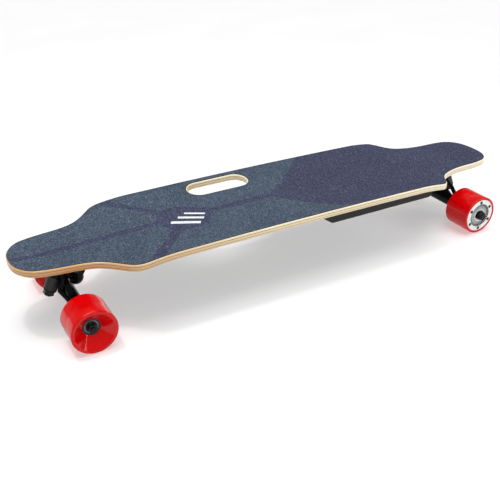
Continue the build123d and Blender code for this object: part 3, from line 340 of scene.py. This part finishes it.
g = Mat("cooling_alloy")
brush = g.noise(1.0, 3.0, 0.6, vec=g.stretch(0.05, 3.0, 3.0))
g.const(Metallic=1.0)
g.put("Base Color", g.ramp(brush, [(0.25, (0.42, 0.43, 0.44)), (0.75, (0.62, 0.63, 0.64))]))
g.put("Roughness", g.span(brush, 0.25, 0.75, 0.28, 0.46))
g.put("Normal", g.bump(brush, 0.01))
M["alloy"] = g.m

M["soft_black"] = plain("soft_black", (0.011, 0.011, 0.012), (0.024, 0.024, 0.025), 0.62, 0.08, cell=0.9, grain=2.5, depth=0.04).m

# maple plies: pale layers with thin darker cross plies and glue lines, clear lacquer; painted shade darkens the edge to
# gold towards the nose, painted light bleaches it to cream towards the tail
g = Mat("maple_ply_edge")
depth = g.attr("ply_depth")
wave = g.math("MULTIPLY", g.math("SUBTRACT", g.noise(0.02, 2.0, 0.5), 0.5), 0.5)
d = g.math("DIVIDE", g.math("ADD", depth, wave), 11.0)
ply = g.ramp(d, [
    (0.0, (0.90, 0.82, 0.60)), (0.27, (0.89, 0.80, 0.57)), (0.30, (0.20, 0.11, 0.045)), (0.345, (0.20, 0.11, 0.045)),
    (0.375, (0.86, 0.75, 0.50)), (0.50, (0.84, 0.72, 0.47)), (0.515, (0.52, 0.36, 0.18)), (0.53, (0.52, 0.36, 0.18)),
    (0.545, (0.88, 0.78, 0.54)), (0.66, (0.86, 0.74, 0.49)), (0.69, (0.27, 0.15, 0.06)), (0.73, (0.27, 0.15, 0.06)),
    (0.755, (0.84, 0.71, 0.45)), (0.90, (0.80, 0.66, 0.40)), (1.0, (0.55, 0.40, 0.20))])
along = g.sep()[0]
# painted shade: the ply colours darkened to gold towards the nose
nose_painted_shade = g.mix(0.95, ply, (0.66, 0.37, 0.13), "MULTIPLY")
ply = g.mix(g.span(along, 60.0, 380.0, 0.0, 0.95), ply, nose_painted_shade)
# painted light: the ply colours bleached to pale cream towards the tail
ply = g.mix(g.span(along, -100.0, -380.0, 0.0, 0.45), ply, (0.93, 0.92, 0.74))
fibre = g.noise(1.0, 4.0, 0.65, vec=g.stretch(0.10, 0.10, 3.0))
fleck = g.noise(1.4, 3.0, 0.6, vec=g.stretch(0.6, 0.6, 2.0))
col = g.mix(g.span(fibre, 0.40, 0.75, 0.0, 0.22), ply, (0.52, 0.33, 0.14))
col = g.mix(g.span(fleck, 0.58, 0.75, 0.0, 0.35), col, (0.93, 0.82, 0.56))
g.put("Base Color", col)
g.put("Roughness", g.span(fibre, 0.3, 0.7, 0.28, 0.42))
g.put("Normal", g.bump(fibre, 0.03, 0.5))
g.const(Coat_Weight=0.35, Coat_Roughness=0.18)
M["ply"] = g.m

# maple face veneer with a lengthwise grain
g = Mat("maple_face")
warp = g.noise(0.9, 4.0, 0.6, vec=g.stretch(0.012, 0.16, 0.16), distort=0.8)
pore = g.noise(1.0, 4.0, 0.7, vec=g.stretch(0.06, 2.4, 2.4))
col = g.ramp(warp, [(0.25, (0.012, 0.011, 0.010)), (0.45, (0.028, 0.025, 0.022)), (0.6, (0.018, 0.016, 0.014)), (0.8, (0.040, 0.035, 0.030))])
col = g.mix(g.span(pore, 0.5, 0.75, 0.0, 0.6), col, (0.005, 0.005, 0.005))
g.put("Base Color", col)
g.put("Roughness", g.span(pore, 0.3, 0.7, 0.30, 0.45))
g.put("Normal", g.bump(pore, 0.03, 0.5))
g.const(Coat_Weight=0.4, Coat_Roughness=0.16)
M["maple"] = g.m


def grip(name, low, mid, high, painted_glint):
    """Silicon carbide grit on a printed sheet: each grain its own tone, tilt and gloss, with a painted glint in the
    colour of the brightest grains.
    """
    g = Mat(name)
    grain = g.cells(0.95, out="Color")
    bw = g.t.nodes.new("ShaderNodeRGBToBW")
    g.link(grain, bw.inputs[0])
    clump = g.cells(0.42, out="Color")
    bw2 = g.t.nodes.new("ShaderNodeRGBToBW")
    g.link(clump, bw2.inputs[0])
    coarse = g.noise(0.45, 4.0, 0.75)
    tone = g.math("ADD", g.math("MULTIPLY", bw.outputs[0], 0.42), g.math("MULTIPLY", bw2.outputs[0], 0.30))
    tone = g.math("ADD", tone, g.math("MULTIPLY", coarse, 0.34))
    # the top ramp stop is a painted glint: bright specks put into the base colour
    col = g.ramp(tone, [(0.28, low), (0.50, mid), (0.74, high), (0.92, painted_glint)])
    patch = g.noise(0.012, 3.0, 0.5)
    col = g.mix(g.span(patch, 0.35, 0.65, 0.0, 0.22), col, low)
    g.put("Base Color", col)
    g.put("Roughness", g.span(bw.outputs[0], 0.2, 0.9, 0.90, 0.50))
    dots = g.cells(0.95)
    g.put("Normal", g.bump(dots, 0.6, 0.9, g.bump(g.noise(2.2, 3.0, 0.7), 0.25, 0.7)))
    g.const(Specular_IOR_Level=0.3)
    return g


GRIP_LIGHT = grip("grip_grey_blue", (0.018, 0.028, 0.046), (0.042, 0.063, 0.097), (0.105, 0.142, 0.195), (0.46, 0.52, 0.60)).m
GRIP_DARK = grip("grip_navy", (0.014, 0.017, 0.040), (0.033, 0.039, 0.080), (0.080, 0.089, 0.155), (0.38, 0.41, 0.51)).m
GRIP_MARK = grip("grip_print_white", (0.50, 0.53, 0.57), (0.78, 0.80, 0.83), (0.88, 0.90, 0.92), (0.97, 0.98, 0.99)).m
GRIP_EDGE = plain("grip_cut_edge", (0.014, 0.016, 0.022), (0.04, 0.045, 0.055), 0.85, 0.06, cell=1.5, grain=2.5, depth=0.15).m


# ---------------------------------------------------------------------------
# Deck shape
# ---------------------------------------------------------------------------
HALF_WID, DECK_T, CENTRE_Z, CONCAVE, CAMBER = 115.5, 11.0, 118.7, 7.1, 3.3e-5
GRIP_T, GRIP_INSET = 0.95, 1.4
SLOT_C, SLOT_L, SLOT_W = (74.0, -80.0), 115.0, 44.0
NOSE = [(463, 0), (460.2, 22), (452, 38), (440.5, 49), (428, 54.3), (412, 57.8), (395, 60.4), (378, 62.6),
        (360, 66.2), (346, 71.6), (333, 80.6), (321, 92), (309.5, 104), (299, 111.8), (287, 115.0), (275, 115.5)]
TAIL = [(-274, 115.5), (-284, 114.8), (-291.5, 111.2), (-298, 104.5), (-305, 94), (-312.5, 84), (-322, 75.8),
        (-336, 69.2), (-352, 64.6), (-376, 61.2), (-402, 60.4), (-424, 58.2), (-442, 52), (-454, 40.5),
        (-461, 22), (-463, 0)]

_xs = np.linspace(0.0, 480.0, 1921)
_t = np.clip((_xs - 290.0) / 55.0, 0, 1)
_slope = 2.0 * CAMBER * _xs * (1.0 - _t * _t * (3.0 - 2.0 * _t))
_drop = np.concatenate([[0.0], np.cumsum((_slope[1:] + _slope[:-1]) * 0.5 * np.diff(_xs))])


def top_z(x, y):
    x = np.abs(np.asarray(x, float))
    t = np.clip((x - 235.0) / 98.0, 0, 1)
    fade = 1.0 - t * t * (3.0 - 2.0 * t)
    return CENTRE_Z - np.interp(x, _xs, _drop) + CONCAVE * fade * (np.asarray(y, float) / HALF_WID) ** 2


def clamped(pts, t0, t1, step=3.0):
    """Cubic spline through points with given end directions, sampled about every step mm."""
    p = np.array(pts, float)
    s = np.concatenate([[0.0], np.cumsum(np.hypot(*np.diff(p, axis=0).T))])
    n = len(p)
    h = np.diff(s)
    A, B = np.zeros((n, n)), np.zeros((n, 2))
    A[0, 0], B[0] = 1.0, t0
    A[-1, -1], B[-1] = 1.0, t1
    for i in range(1, n - 1):
        A[i, i - 1], A[i, i], A[i, i + 1] = h[i], 2 * (h[i - 1] + h[i]), h[i - 1]
        B[i] = 3 * (h[i] * (p[i] - p[i - 1]) / h[i - 1] + h[i - 1] * (p[i + 1] - p[i]) / h[i])
    m = np.linalg.solve(A, B)
    out = []
    for i in range(n - 1):
        k = max(2, int(round(h[i] / step)))
        for j in range(k):
            u = j / k
            out.append((2 * u**3 - 3 * u**2 + 1) * p[i] + (u**3 - 2 * u**2 + u) * h[i] * m[i]
                       + (-2 * u**3 + 3 * u**2) * p[i + 1] + (u**3 - u**2) * h[i] * m[i + 1])
    out.append(p[-1])
    return np.array(out)


def deck_outline():
    """Closed ring, counterclockwise seen from above, starting at the nose tip."""
    nose = clamped(NOSE, (0, 1), (-1, 0))
    tail = clamped(TAIL, (-1, 0), (0, -1))
    side = np.array([(x, 115.5) for x in np.linspace(275, -274, 92)[1:-1]])
    half = np.vstack([nose, side, tail])
    other = half[1:-1][::-1] * np.array([1, -1])
    return np.vstack([half, other])


def slot_ring(extra=0.0, n=28):
    """Closed ring round the carrying slot, counterclockwise."""
    r = SLOT_W / 2 + extra / 2
    s = (SLOT_L - SLOT_W) / 2
    cx, cy = SLOT_C
    pts = []
    for a in np.linspace(-math.pi / 2, math.pi / 2, n):
        pts.append((cx + s + r * math.cos(a), cy + r * math.sin(a)))
    for x in np.linspace(s, -s, 16)[1:-1]:
        pts.append((cx + x, cy + r))
    for a in np.linspace(math.pi / 2, 3 * math.pi / 2, n):
        pts.append((cx - s + r * math.cos(a), cy + r * math.sin(a)))
    for x in np.linspace(-s, s, 16)[1:-1]:
        pts.append((cx + x, cy - r))
    return np.array(pts)


def ring_normals(ring):
    """Unit normals to the left of travel: inward on a counterclockwise ring."""
    t = np.roll(ring, -1, axis=0) - np.roll(ring, 1, axis=0)
    t /= np.linalg.norm(t, axis=1)[:, None]
    return np.stack([-t[:, 1], t[:, 0]], axis=1)


def inside(p, poly):
    """Even-odd test of points against a polygon."""
    x, y = p[:, 0], p[:, 1]
    res = np.zeros(len(p), bool)
    n = len(poly)
    for i in range(n):
        x1, y1 = poly[i]
        x2, y2 = poly[(i + 1) % n]
        if y1 == y2:
            continue
        hit = ((y1 > y) != (y2 > y)) & (x < (x2 - x1) * (y - y1) / (y2 - y1) + x1)
        res ^= hit
    return res


def sheet_mesh(outer, hole, spacing, extra=()):
    """Triangulated flat region between two rings. extra: open or closed lines to keep as edges.
    The first len(outer)+len(hole) points keep their order."""
    pts = [tuple(p) for p in outer] + [tuple(p) for p in hole]
    no, nh = len(outer), len(hole)
    edges = [(i, (i + 1) % no) for i in range(no)]
    edges += [(no + i, no + (i + 1) % nh) for i in range(nh)]
    for line in extra:
        base = len(pts)
        pts += [tuple(p) for p in line]
        edges += [(base + i, base + i + 1) for i in range(len(line) - 1)]
    gx = np.arange(-460, 461, spacing)
    gy = np.arange(-114, 115, spacing * 0.75)
    grid = np.array([(x, y) for x in gx for y in gy])
    keep = inside(grid, outer) & ~inside(grid, hole)
    grid = grid[keep]
    ring = np.vstack([outer, hole])
    far = np.array([np.min(np.hypot(ring[:, 0] - q[0], ring[:, 1] - q[1])) > spacing * 0.45 for q in grid])
    pts += [tuple(p) for p in grid[far]]
    v, _, f, ov, _, _ = delaunay_2d_cdt([Vector(p) for p in pts], edges, [], 0, 1e-4, True)
    v = np.array([(a.x, a.y) for a in v])
    f = np.array([t for t in f if len(t) == 3])
    cen = v[f].mean(axis=1)
    f = f[inside(cen, outer) & ~inside(cen, hole)]
    e1, e2 = v[f[:, 1]] - v[f[:, 0]], v[f[:, 2]] - v[f[:, 0]]
    flip = (e1[:, 0] * e2[:, 1] - e1[:, 1] * e2[:, 0]) < 0
    f[flip] = f[flip][:, ::-1]
    index = {}
    for new, olds in enumerate(ov):
        for old in olds:
            index[old] = new
    return v, f, [index[i] for i in range(no)], [index[no + i] for i in range(nh)]


def make_object(name, verts_mm, faces, body, mats=(), mat_index=None, smooth=True):
    me = bpy.data.meshes.new(name)
    me.from_pydata([tuple(float(c) * MM for c in v) for v in verts_mm], [], [tuple(int(i) for i in f) for f in faces])
    me.validate()
    for m in mats:
        me.materials.append(m)
    if mat_index is not None:
        me.polygons.foreach_set("material_index", np.array(mat_index, np.int32))
    if smooth:
        me.polygons.foreach_set("use_smooth", np.ones(len(me.polygons), bool))
    me.update()
    o = bpy.data.objects.new(name, me)
    bpy.context.scene.collection.objects.link(o)
    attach(o, body)
    return o


def band(a, b):
    """Quads between two vertex index rings, a above b, ring counterclockwise: faces point outward."""
    n = len(a)
    return [(a[i], b[i], b[(i + 1) % n], a[(i + 1) % n]) for i in range(n)]


OUT = deck_outline()
SLOT = slot_ring()
N_OUT, N_SLOT = ring_normals(OUT), ring_normals(SLOT)


def deck_piece():
    r = 1.7
    angles = np.linspace(0, math.pi / 2, 6)
    # (inset, depth) from the top face round the side to the bottom face
    path = [(r * (1 - math.sin(a)), r * (1 - math.cos(a))) for a in angles]
    path += [(0.0, d) for d in (3.0, 4.6, 6.4, 8.0)]
    path += [(r * (1 - math.cos(a)), DECK_T - r * (1 - math.sin(a))) for a in angles]
    v2, f2, io, ih = sheet_mesh(OUT + N_OUT * r, SLOT - N_SLOT * r, 13.0)
    verts, dep, faces, mi = [], [], [], []
    zt = top_z(v2[:, 0], v2[:, 1])
    n = len(v2)
    for (x, y), z in zip(v2, zt):
        verts.append((x, y, z))
        dep.append(0.0)
    for (x, y), z in zip(v2, zt):
        verts.append((x, y, z - DECK_T))
        dep.append(DECK_T)
    for t in f2:
        faces.append(tuple(t))
        mi.append(1)
    for t in f2:
        faces.append((t[2] + n, t[1] + n, t[0] + n))
        mi.append(1)
    for ring, nor, idx, outer in ((OUT, N_OUT, io, True), (SLOT, -N_SLOT, ih, False)):
        last = list(idx)
        for k, (ins, dp) in enumerate(path[1:]):
            if k == len(path) - 2:
                cur = [i + n for i in idx]
            else:
                p = ring + nor * ins
                z = top_z(p[:, 0], p[:, 1]) - dp
                cur = list(range(len(verts), len(verts) + len(p)))
                verts += [(a, b, c) for (a, b), c in zip(p, z)]
                dep += [dp] * len(p)
            q = band(last, cur)
            if not outer:
                q = [t[::-1] for t in q]
            faces += q
            mi += [0] * len(q)
            last = cur
    o = make_object("deck_body", verts, faces, "board", (M["ply"], M["maple"]), mi)
    at = o.data.attributes.new("ply_depth", "FLOAT", "POINT")
    at.data.foreach_set("value", np.array(dep, np.float32))
    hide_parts("deck")
    return o


def quad(p, q, w):
    """Band of width w about a line."""
    p, q = np.array(p, float), np.array(q, float)
    d = (q - p) / np.linalg.norm(q - p)
    n = np.array([-d[1], d[0]]) * w / 2
    return [tuple(p + n), tuple(p - n), tuple(q - n), tuple(q + n)]


STRIPE = [(459.5, 9), (459.5, -1), (398, 1), (239, -5.5), (130, -5.5), (30, -7), (9, -5.8), (6, 0), (9, 8), (30, 8.5), (130, 8.5), (243, 8),
          (315, 9), (400, 14)]
PATCH = [(220, -16), (209, -37), (196, -41), (160, -32), (134, -10), (131, 8), (150, 46), (186, 48), (212, 46), (222, 12)]
ARM_FAR = [(206, -42), (217, -50), (246, -81), (270, -113.4), (288, -112.2), (251, -72), (223, -40), (214, -28)]
ARM_NEAR = [(214, 38), (231, 58), (252, 81), (280, 108), (268, 113.6), (256, 113.6), (226, 76), (204, 52), (196, 42)]
TAIL_FIELD = [(16, 1), (-24, -32), (-60, -62), (-112, -113.6), (-520, -140), (-520, 140), (-84, 113.6), (-61, 100), (-31, 66), (10, 10)]
MARK = [quad((162, 34), (204, 10), 8.5), quad((150, 21), (187, -1), 7.0), quad((142, 8), (172, -10), 5.5)]


def grip_piece():
    outer = OUT + N_OUT * GRIP_INSET
    hole = slot_ring(4.0)
    no, nh = ring_normals(outer), ring_normals(hole)
    c = 0.35
    closed = [p + [p[0]] for p in (PATCH, STRIPE, ARM_FAR, ARM_NEAR) + tuple(MARK)]
    edge_line = [TAIL_FIELD[4 - 1], TAIL_FIELD[2], TAIL_FIELD[1], TAIL_FIELD[0], TAIL_FIELD[9], TAIL_FIELD[8], TAIL_FIELD[7], TAIL_FIELD[6]]
    v2, f2, io, ih = sheet_mesh(outer + no * c, hole - nh * c, 12.0, closed + [edge_line])
    cen = v2[f2].mean(axis=1)
    mark = np.zeros(len(cen), bool)
    for p in MARK:
        mark |= inside(cen, p)
    dark = inside(cen, TAIL_FIELD)
    for p in (STRIPE, PATCH, ARM_FAR, ARM_NEAR):
        dark |= inside(cen, p)
    zt = top_z(v2[:, 0], v2[:, 1]) + GRIP_T + 0.03
    n = len(v2)
    verts = [(x, y, z) for (x, y), z in zip(v2, zt)] + [(x, y, z - GRIP_T) for (x, y), z in zip(v2, zt)]
    faces = [tuple(t) for t in f2] + [(t[2] + n, t[1] + n, t[0] + n) for t in f2]
    mi = [2 if m else (1 if d else 0) for m, d in zip(mark, dark)] + [3] * len(f2)
    for ring, nor, idx, out_side in ((outer, no, io, True), (hole, -nh, ih, False)):
        z = top_z(ring[:, 0], ring[:, 1]) + 0.03
        cur = list(range(len(verts), len(verts) + len(ring)))
        verts += [(a, b, h + GRIP_T - c) for (a, b), h in zip(ring, z)]
        low = list(range(len(verts), len(verts) + len(ring)))
        verts += [(a, b, h) for (a, b), h in zip(ring, z)]
        for a, b in ((list(idx), cur), (cur, low), (low, [i + n for i in idx])):
            q = band(a, b)
            if not out_side:
                q = [t[::-1] for t in q]
            faces += q
            mi += [3] * len(q)
    o = make_object("grip_sheet", verts, faces, "board", (GRIP_LIGHT, GRIP_DARK, GRIP_MARK, GRIP_EDGE), mi)
    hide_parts("grip_tape")
    return o


deck_piece()
grip_piece()


# ---------------------------------------------------------------------------
# Turned pieces about the axles
# ---------------------------------------------------------------------------
AXLE_X, WHEEL_R = 379.5, 36.0


def soften(profile, radii, n=5):
    """Round a closed profile's corners. radii: {corner index: radius}."""
    out = []
    m = len(profile)
    for i, p in enumerate(profile):
        p = np.array(p, float)
        if i not in radii:
            out.append((tuple(p), True))
            continue
        r = radii[i]
        a, b = np.array(profile[i - 1], float) - p, np.array(profile[(i + 1) % m], float) - p
        la, lb = np.linalg.norm(a), np.linalg.norm(b)
        a, b = a / la, b / lb
        half = math.acos(max(-1, min(1, a @ b))) / 2
        d = min(r / math.tan(half), la * 0.49, lb * 0.49)
        rr = d * math.tan(half)
        c = p + (a + b) / np.linalg.norm(a + b) * rr / math.sin(half)
        s, e = p + a * d - c, p + b * d - c
        a0, a1 = math.atan2(s[1], s[0]), math.atan2(e[1], e[0])
        while a1 - a0 > math.pi:
            a1 -= 2 * math.pi
        while a1 - a0 < -math.pi:
            a1 += 2 * math.pi
        for k in range(n + 1):
            t = a0 + (a1 - a0) * k / n
            out.append((tuple(c + rr * np.array([math.cos(t), math.sin(t)])), False))
    return out


def lathe(name, profile, cx, side, body, mats, segs=144, pick=None, wave=None, dent=None):
    """Closed profile of (y, r) turned about an axle. side -1 mirrors it to the right wheel.
    wave adds to the radius and dent to y, by (y, r, column)."""
    prof = [p for p, _ in profile]
    m = len(prof)
    verts, faces, mi = [], [], []
    for j in range(segs):
        a = 2 * math.pi * j / segs
        for (y, r) in prof:
            rr = r + (wave(y, r, a) if wave else 0.0)
            yy = y + (dent(y, r, j) if dent else 0.0)
            verts.append((cx + rr * math.cos(a), side * yy, WHEEL_R + rr * math.sin(a)))
    for j in range(segs):
        k = (j + 1) % segs
        for i in range(m):
            i2 = (i + 1) % m
            q = (j * m + i, j * m + i2, k * m + i2, k * m + i)
            faces.append(q)
            mid = [0.5 * (prof[i][t] + prof[i2][t]) for t in (0, 1)]
            mi.append(0 if pick is None else (pick(mid[0], mid[1], j) if dent else pick(mid[0], mid[1])))
    o = make_object(name, verts, faces, body, mats, mi)
    bm = bmesh.new()
    bm.from_mesh(o.data)
    bmesh.ops.recalc_face_normals(bm, faces=bm.faces)
    for e in bm.edges:
        if len(e.link_faces) == 2 and e.calc_face_angle(0.0) > math.radians(28):
            e.smooth = False
    bm.to_mesh(o.data)
    bm.free()
    return o


def front_wheel(side, tag):
    body = f"front_{tag}_wheel"
    # tyre: outer lip, conical mouth down to the core, rounded shoulders, faint mould line
    pts = [(111.5, 14.0), (112.3, 14.9), (126.6, 29.0), (128.45, 30.8), (128.5, 36.0), (122.6, 36.0), (101.3, 35.97), (100.75, 35.92),
           (100.2, 35.97), (79.0, 36.0), (73.0, 36.0), (73.05, 30.8), (74.9, 29.0), (84.7, 14.9), (85.5, 14.0), (90.0, 14.0), (90.0, 20.0),
           (107.0, 20.0), (107.0, 14.0)]
    prof = soften(pts, {1: 0.6, 3: 1.4, 4: 5.2, 10: 5.2, 11: 1.4}, 9)
    o = lathe(f"front_{tag}_tyre_cast", prof, AXLE_X, side, body, (M["urethane"],), 160)
    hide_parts(f"front_{tag}_tyre")
    # core: annulus round the bearing with a small step
    pts = [(86.5, 11.0), (85.5, 11.0), (85.5, 14.0), (90.0, 14.0), (90.0, 20.0), (107.0, 20.0), (107.0, 14.0), (111.5, 14.0),
           (111.5, 12.9), (111.0, 12.4), (111.0, 11.0), (103.5, 11.0), (103.5, 8.5), (93.5, 8.5), (93.5, 11.0)]
    prof = soften(pts, {7: 0.35, 8: 0.3}, 3)
    o = lathe(f"front_{tag}_core_moulded", prof, AXLE_X, side, body, (M["core"],), 96)
    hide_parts(f"front_{tag}_core")
    # bearings: outer race, dark shield, inner race; the races are coloured dark grey as painted shade of the wheel's
    # recess
    for k, b in enumerate((86.5, 103.5)):
        w = 7.0
        pts = [(b, 4.05), (b, 6.1), (b + 0.25, 6.3), (b + 0.55, 6.4), (b + 0.55, 9.2), (b + 0.2, 9.4), (b, 9.5), (b, 10.96),
               (b + w, 10.96), (b + w, 9.5), (b + w - 0.2, 9.4), (b + w - 0.55, 9.2), (b + w - 0.55, 6.4), (b + w - 0.25, 6.3),
               (b + w, 6.1), (b + w, 4.05)]
        prof = soften(pts, {7: 0.4, 8: 0.4}, 3)
        o = lathe(f"front_{tag}_bearing_{k + 1}", prof, AXLE_X, side, body, (M["race_dark"], M["shield"]), 96,
                  pick=lambda y, r, b=b: 1 if 6.3 < r < 9.3 and (b + 0.3 < y < b + 6.7) else 0)
        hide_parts(f"front_{tag}_bearings")


for side, tag in ((1, "left"), (-1, "right")):
    front_wheel(side, tag)


def rear_wheel(side, tag):
    body = f"rear_{tag}_wheel"
    pts = [(66.0, 31.2), (66.0, 36.0), (70.0, 36.0), (92.4, 35.97), (93.0, 35.92), (93.6, 35.97), (116.5, 36.0), (120.5, 36.0), (120.5, 31.9),
           (119.98, 31.5), (119.98, 31.2)]
    prof = soften(pts, {1: 2.9, 7: 3.4, 8: 0.5}, 8)
    o = lathe(f"rear_{tag}_sleeve_cast", prof, -AXLE_X, side, body, (M["urethane"],), 160)
    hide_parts(f"rear_{tag}_sleeve")
    # end cover: flat rim, ring of slots 2.6 mm deep coloured with painted shadow, dished middle coloured grey as
    # painted shade, raised collar
    pts = [(116.5, 31.1), (119.9, 31.1), (119.9, 22.7), (119.85, 22.5), (119.45, 20.4), (118.7, 18.7), (118.6, 18.5), (117.9, 13.4), (118.9, 12.2), (118.9, 10.6),
           (115.5, 10.6), (115.5, 14.0), (107.5, 14.0), (107.5, 17.0), (114.6, 17.0), (115.4, 22.0), (116.5, 22.6)]
    prof = soften(pts, {1: 0.35, 7: 0.4, 8: 0.5, 9: 0.3}, 3)
    groove = lambda r, j: 18.4 < r < 22.65 and j % 6 in (0, 1, 2)
    # material 1: painted shadow in the slot grooves; material 2: painted shade on the dished middle
    o = lathe(f"rear_{tag}_end_cover", prof, -AXLE_X, side, body, (M["cover"], M["vent_black"], M["cover_dish"]), 216,
              dent=lambda y, r, j: -2.6 if (y > 118 and groove(r, j)) else 0.0,
              pick=lambda y, r, j=0: 1 if (y > 116 and (groove(r, j) or groove(r, j + 1))) else (2 if (y > 117 and 12.6 < r < 22.6) else 0))
    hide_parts(f"rear_{tag}_cover")


for side, tag in ((1, "left"), (-1, "right")):
    rear_wheel(side, tag)

for side, tag in ((1, "left"), (-1, "right")):
    # six socket heads standing on the cover rim
    verts, faces, mi = [], [], []
    ring = [(3.0, 119.6), (3.0, 120.2), (2.7, 120.45), (1.3, 120.45), (1.2, 120.38), (1.1, 120.0)]
    for k in range(6):
        a0 = math.radians(28.6 + 60 * k)
        cx, cz = 26.2 * math.cos(a0), 26.2 * math.sin(a0)
        base = len(verts)
        n = 36
        for q in range(n):
            b = 2 * math.pi * q / n
            for t, (r, y) in enumerate(ring):
                rr = r if t < 4 else r / math.cos(((b + math.pi / 6) % (math.pi / 3)) - math.pi / 6)
                verts.append((-AXLE_X + cx + rr * math.cos(b), side * y, WHEEL_R + cz + rr * math.sin(b)))
        for q in range(n):
            q2 = (q + 1) % n
            for t in range(len(ring) - 1):
                faces.append((base + q * 6 + t, base + q * 6 + t + 1, base + q2 * 6 + t + 1, base + q2 * 6 + t))
        faces.append(tuple(base + q * 6 + 5 for q in range(n)))
        faces.append(tuple(base + q * 6 for q in range(n)))
    o = make_object(f"rear_{tag}_screw_heads", verts, faces, f"rear_{tag}_wheel", (M["vent_black"],), [0] * len(faces))
    bm = bmesh.new()
    bm.from_mesh(o.data)
    bmesh.ops.recalc_face_normals(bm, faces=bm.faces)
    for e in bm.edges:
        if len(e.link_faces) == 2 and e.calc_face_angle(0.0) > math.radians(28):
            e.smooth = False
    bm.to_mesh(o.data)
    bm.free()
    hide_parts(f"rear_{tag}_cover_screws")

for side, tag in ((1, "left"), (-1, "right")):
    # lobed cap nut over a collar, with a shallow dimple round the axle end
    pts = [(115.6, 6.05), (115.6, 8.0), (120.0, 8.0), (120.2, 8.6), (121.2, 8.9), (124.6, 8.7), (126.6, 7.9), (127.6, 6.9), (127.7, 6.3), (126.9, 6.05)]
    prof = soften(pts, {4: 0.8, 5: 1.2, 6: 1.2, 7: 0.6, 8: 0.3}, 4)
    o = lathe(f"rear_{tag}_cap_nut", prof, -AXLE_X, side, "rear_hanger", (M["axle_black"],), 96,
              wave=lambda y, r, a: (0.85 * math.cos(3 * a + 0.6) - 0.35) if (y > 120.1 and r > 6.8) else 0.0)
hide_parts("motor_axle_nuts")


# ---------------------------------------------------------------------------
# Carried-over CAD nodes
# ---------------------------------------------------------------------------
def paint(material, *names):
    for n in names:
        o = nodes[n]
        o.data.materials.clear()
        o.data.materials.append(material)


paint(M["ply"], "deck")
paint(GRIP_LIGHT, "grip_tape")
paint(M["riser"], "riser_pads")
paint(M["truck"], "front_baseplate", "rear_baseplate", "front_hanger", "rear_hanger")
paint(M["bushing"], "front_bushings", "rear_bushings", "pivot_cups")
paint(M["black_steel"], "kingpins", "kingpin_nuts", "truck_bolts", "truck_bolt_nuts", "front_axle_nuts", "motor_axle_nuts",
      "enclosure_screws")
paint(M["steel"], "front_left_spacer", "front_right_spacer", "cooling_plate_screws")
paint(M["axle_black"], "front_axle", "front_axle_washers", "motor_axles", "kingpin_washers")
paint(M["urethane"], "front_left_tyre", "front_right_tyre", "rear_left_sleeve", "rear_right_sleeve")
paint(M["core"], "front_left_core", "front_right_core")
paint(M["bearing_f"], "front_left_bearings", "front_right_bearings")
paint(M["bearing_r"], "rear_left_bearings", "rear_right_bearings")
paint(M["motor_alloy"], "rear_left_rotor", "rear_right_rotor")
paint(M["magnet"], "rear_left_magnets", "rear_right_magnets")
paint(M["cover"], "rear_left_cover", "rear_right_cover")
paint(M["laminations"], "rear_left_stator", "rear_right_stator")
paint(M["copper"], "motor_windings")
paint(M["housing"], "enclosure_shell")
paint(M["foam"], "enclosure_gasket")
paint(M["cell"], "battery_cells")
paint(M["frame_plastic"], "battery_frame")
paint(M["nickel"], "battery_links")
paint(M["board"], "battery_board", "controller_board")
paint(M["alloy"], "cooling_plate")
paint(M["parts_black"], "controller_parts", "power_switch")
paint(M["soft_black"], "cable_gland", "charge_socket", "charge_cap", "power_button")

# ---------------------------------------------------------------------------
# Floor and light
# ---------------------------------------------------------------------------
g = Mat("floor_white")
g.put("Base Color", g.ramp(g.noise(0.004, 3.0, 0.5), [(0.3, (0.86, 0.86, 0.86)), (0.7, (0.88, 0.88, 0.88))]))
g.put("Roughness", g.span(g.noise(0.05, 3.0), 0.3, 0.7, 0.55, 0.62))
g.put("Normal", g.bump(g.noise(0.4, 2.0), 0.02, 0.3))
me = bpy.data.meshes.new("floor")
me.from_pydata([(-9, -9, -0.0004), (9, -9, -0.0004), (9, 9, -0.0004), (-9, 9, -0.0004)], [], [(0, 1, 2, 3)])
me.materials.append(g.m)
floor = bpy.data.objects.new("floor", me)
bpy.context.scene.collection.objects.link(floor)

world = bpy.data.worlds.new("studio")
world.use_nodes = True
bg = world.node_tree.nodes["Background"]
bg.inputs[0].default_value = (1.0, 1.0, 1.0, 1.0)
bg.inputs[1].default_value = 0.30
bpy.context.scene.world = world


def area(name, loc, aim, size, watts, colour=(1, 1, 1), size_y=None):
    d = bpy.data.lights.new(name, "AREA")
    d.shape = "RECTANGLE"
    d.size, d.size_y = size, size_y or size
    d.energy = watts
    d.color = colour
    o = bpy.data.objects.new(name, d)
    o.location = loc
    o.rotation_mode = "QUATERNION"
    o.rotation_quaternion = (Vector(aim) - Vector(loc)).to_track_quat("-Z", "Y")
    bpy.context.scene.collection.objects.link(o)
    return o


def sun(name, direction, strength, angle, colour=(1, 1, 1), shadow=True):
    d = bpy.data.lights.new(name, "SUN")
    d.energy = strength
    d.use_shadow = shadow
    d.angle = math.radians(angle)
    d.color = colour
    o = bpy.data.objects.new(name, d)
    o.rotation_mode = "QUATERNION"
    o.rotation_quaternion = Vector(direction).to_track_quat("-Z", "Y")
    bpy.context.scene.collection.objects.link(o)
    return o


sun("overhead", (0.10, 0.05, -1.0), 1.2, 50)
sun("fill", (-0.15, -0.25, -1.0), 1.7, 40, shadow=False)
area("tail_key", (-1.15, 0.95, 0.55), (-0.35, 0.10, 0.09), 0.45, 3.0, (1.0, 0.99, 0.96))
area("spark", (0.55, -0.05, 1.25), (0.3795, 0.10, 0.07), 0.10, 2.6)

scene = bpy.context.scene
scene.view_settings.view_transform = "Standard"
scene.view_settings.look = "None"

bpy.context.view_layer.update()
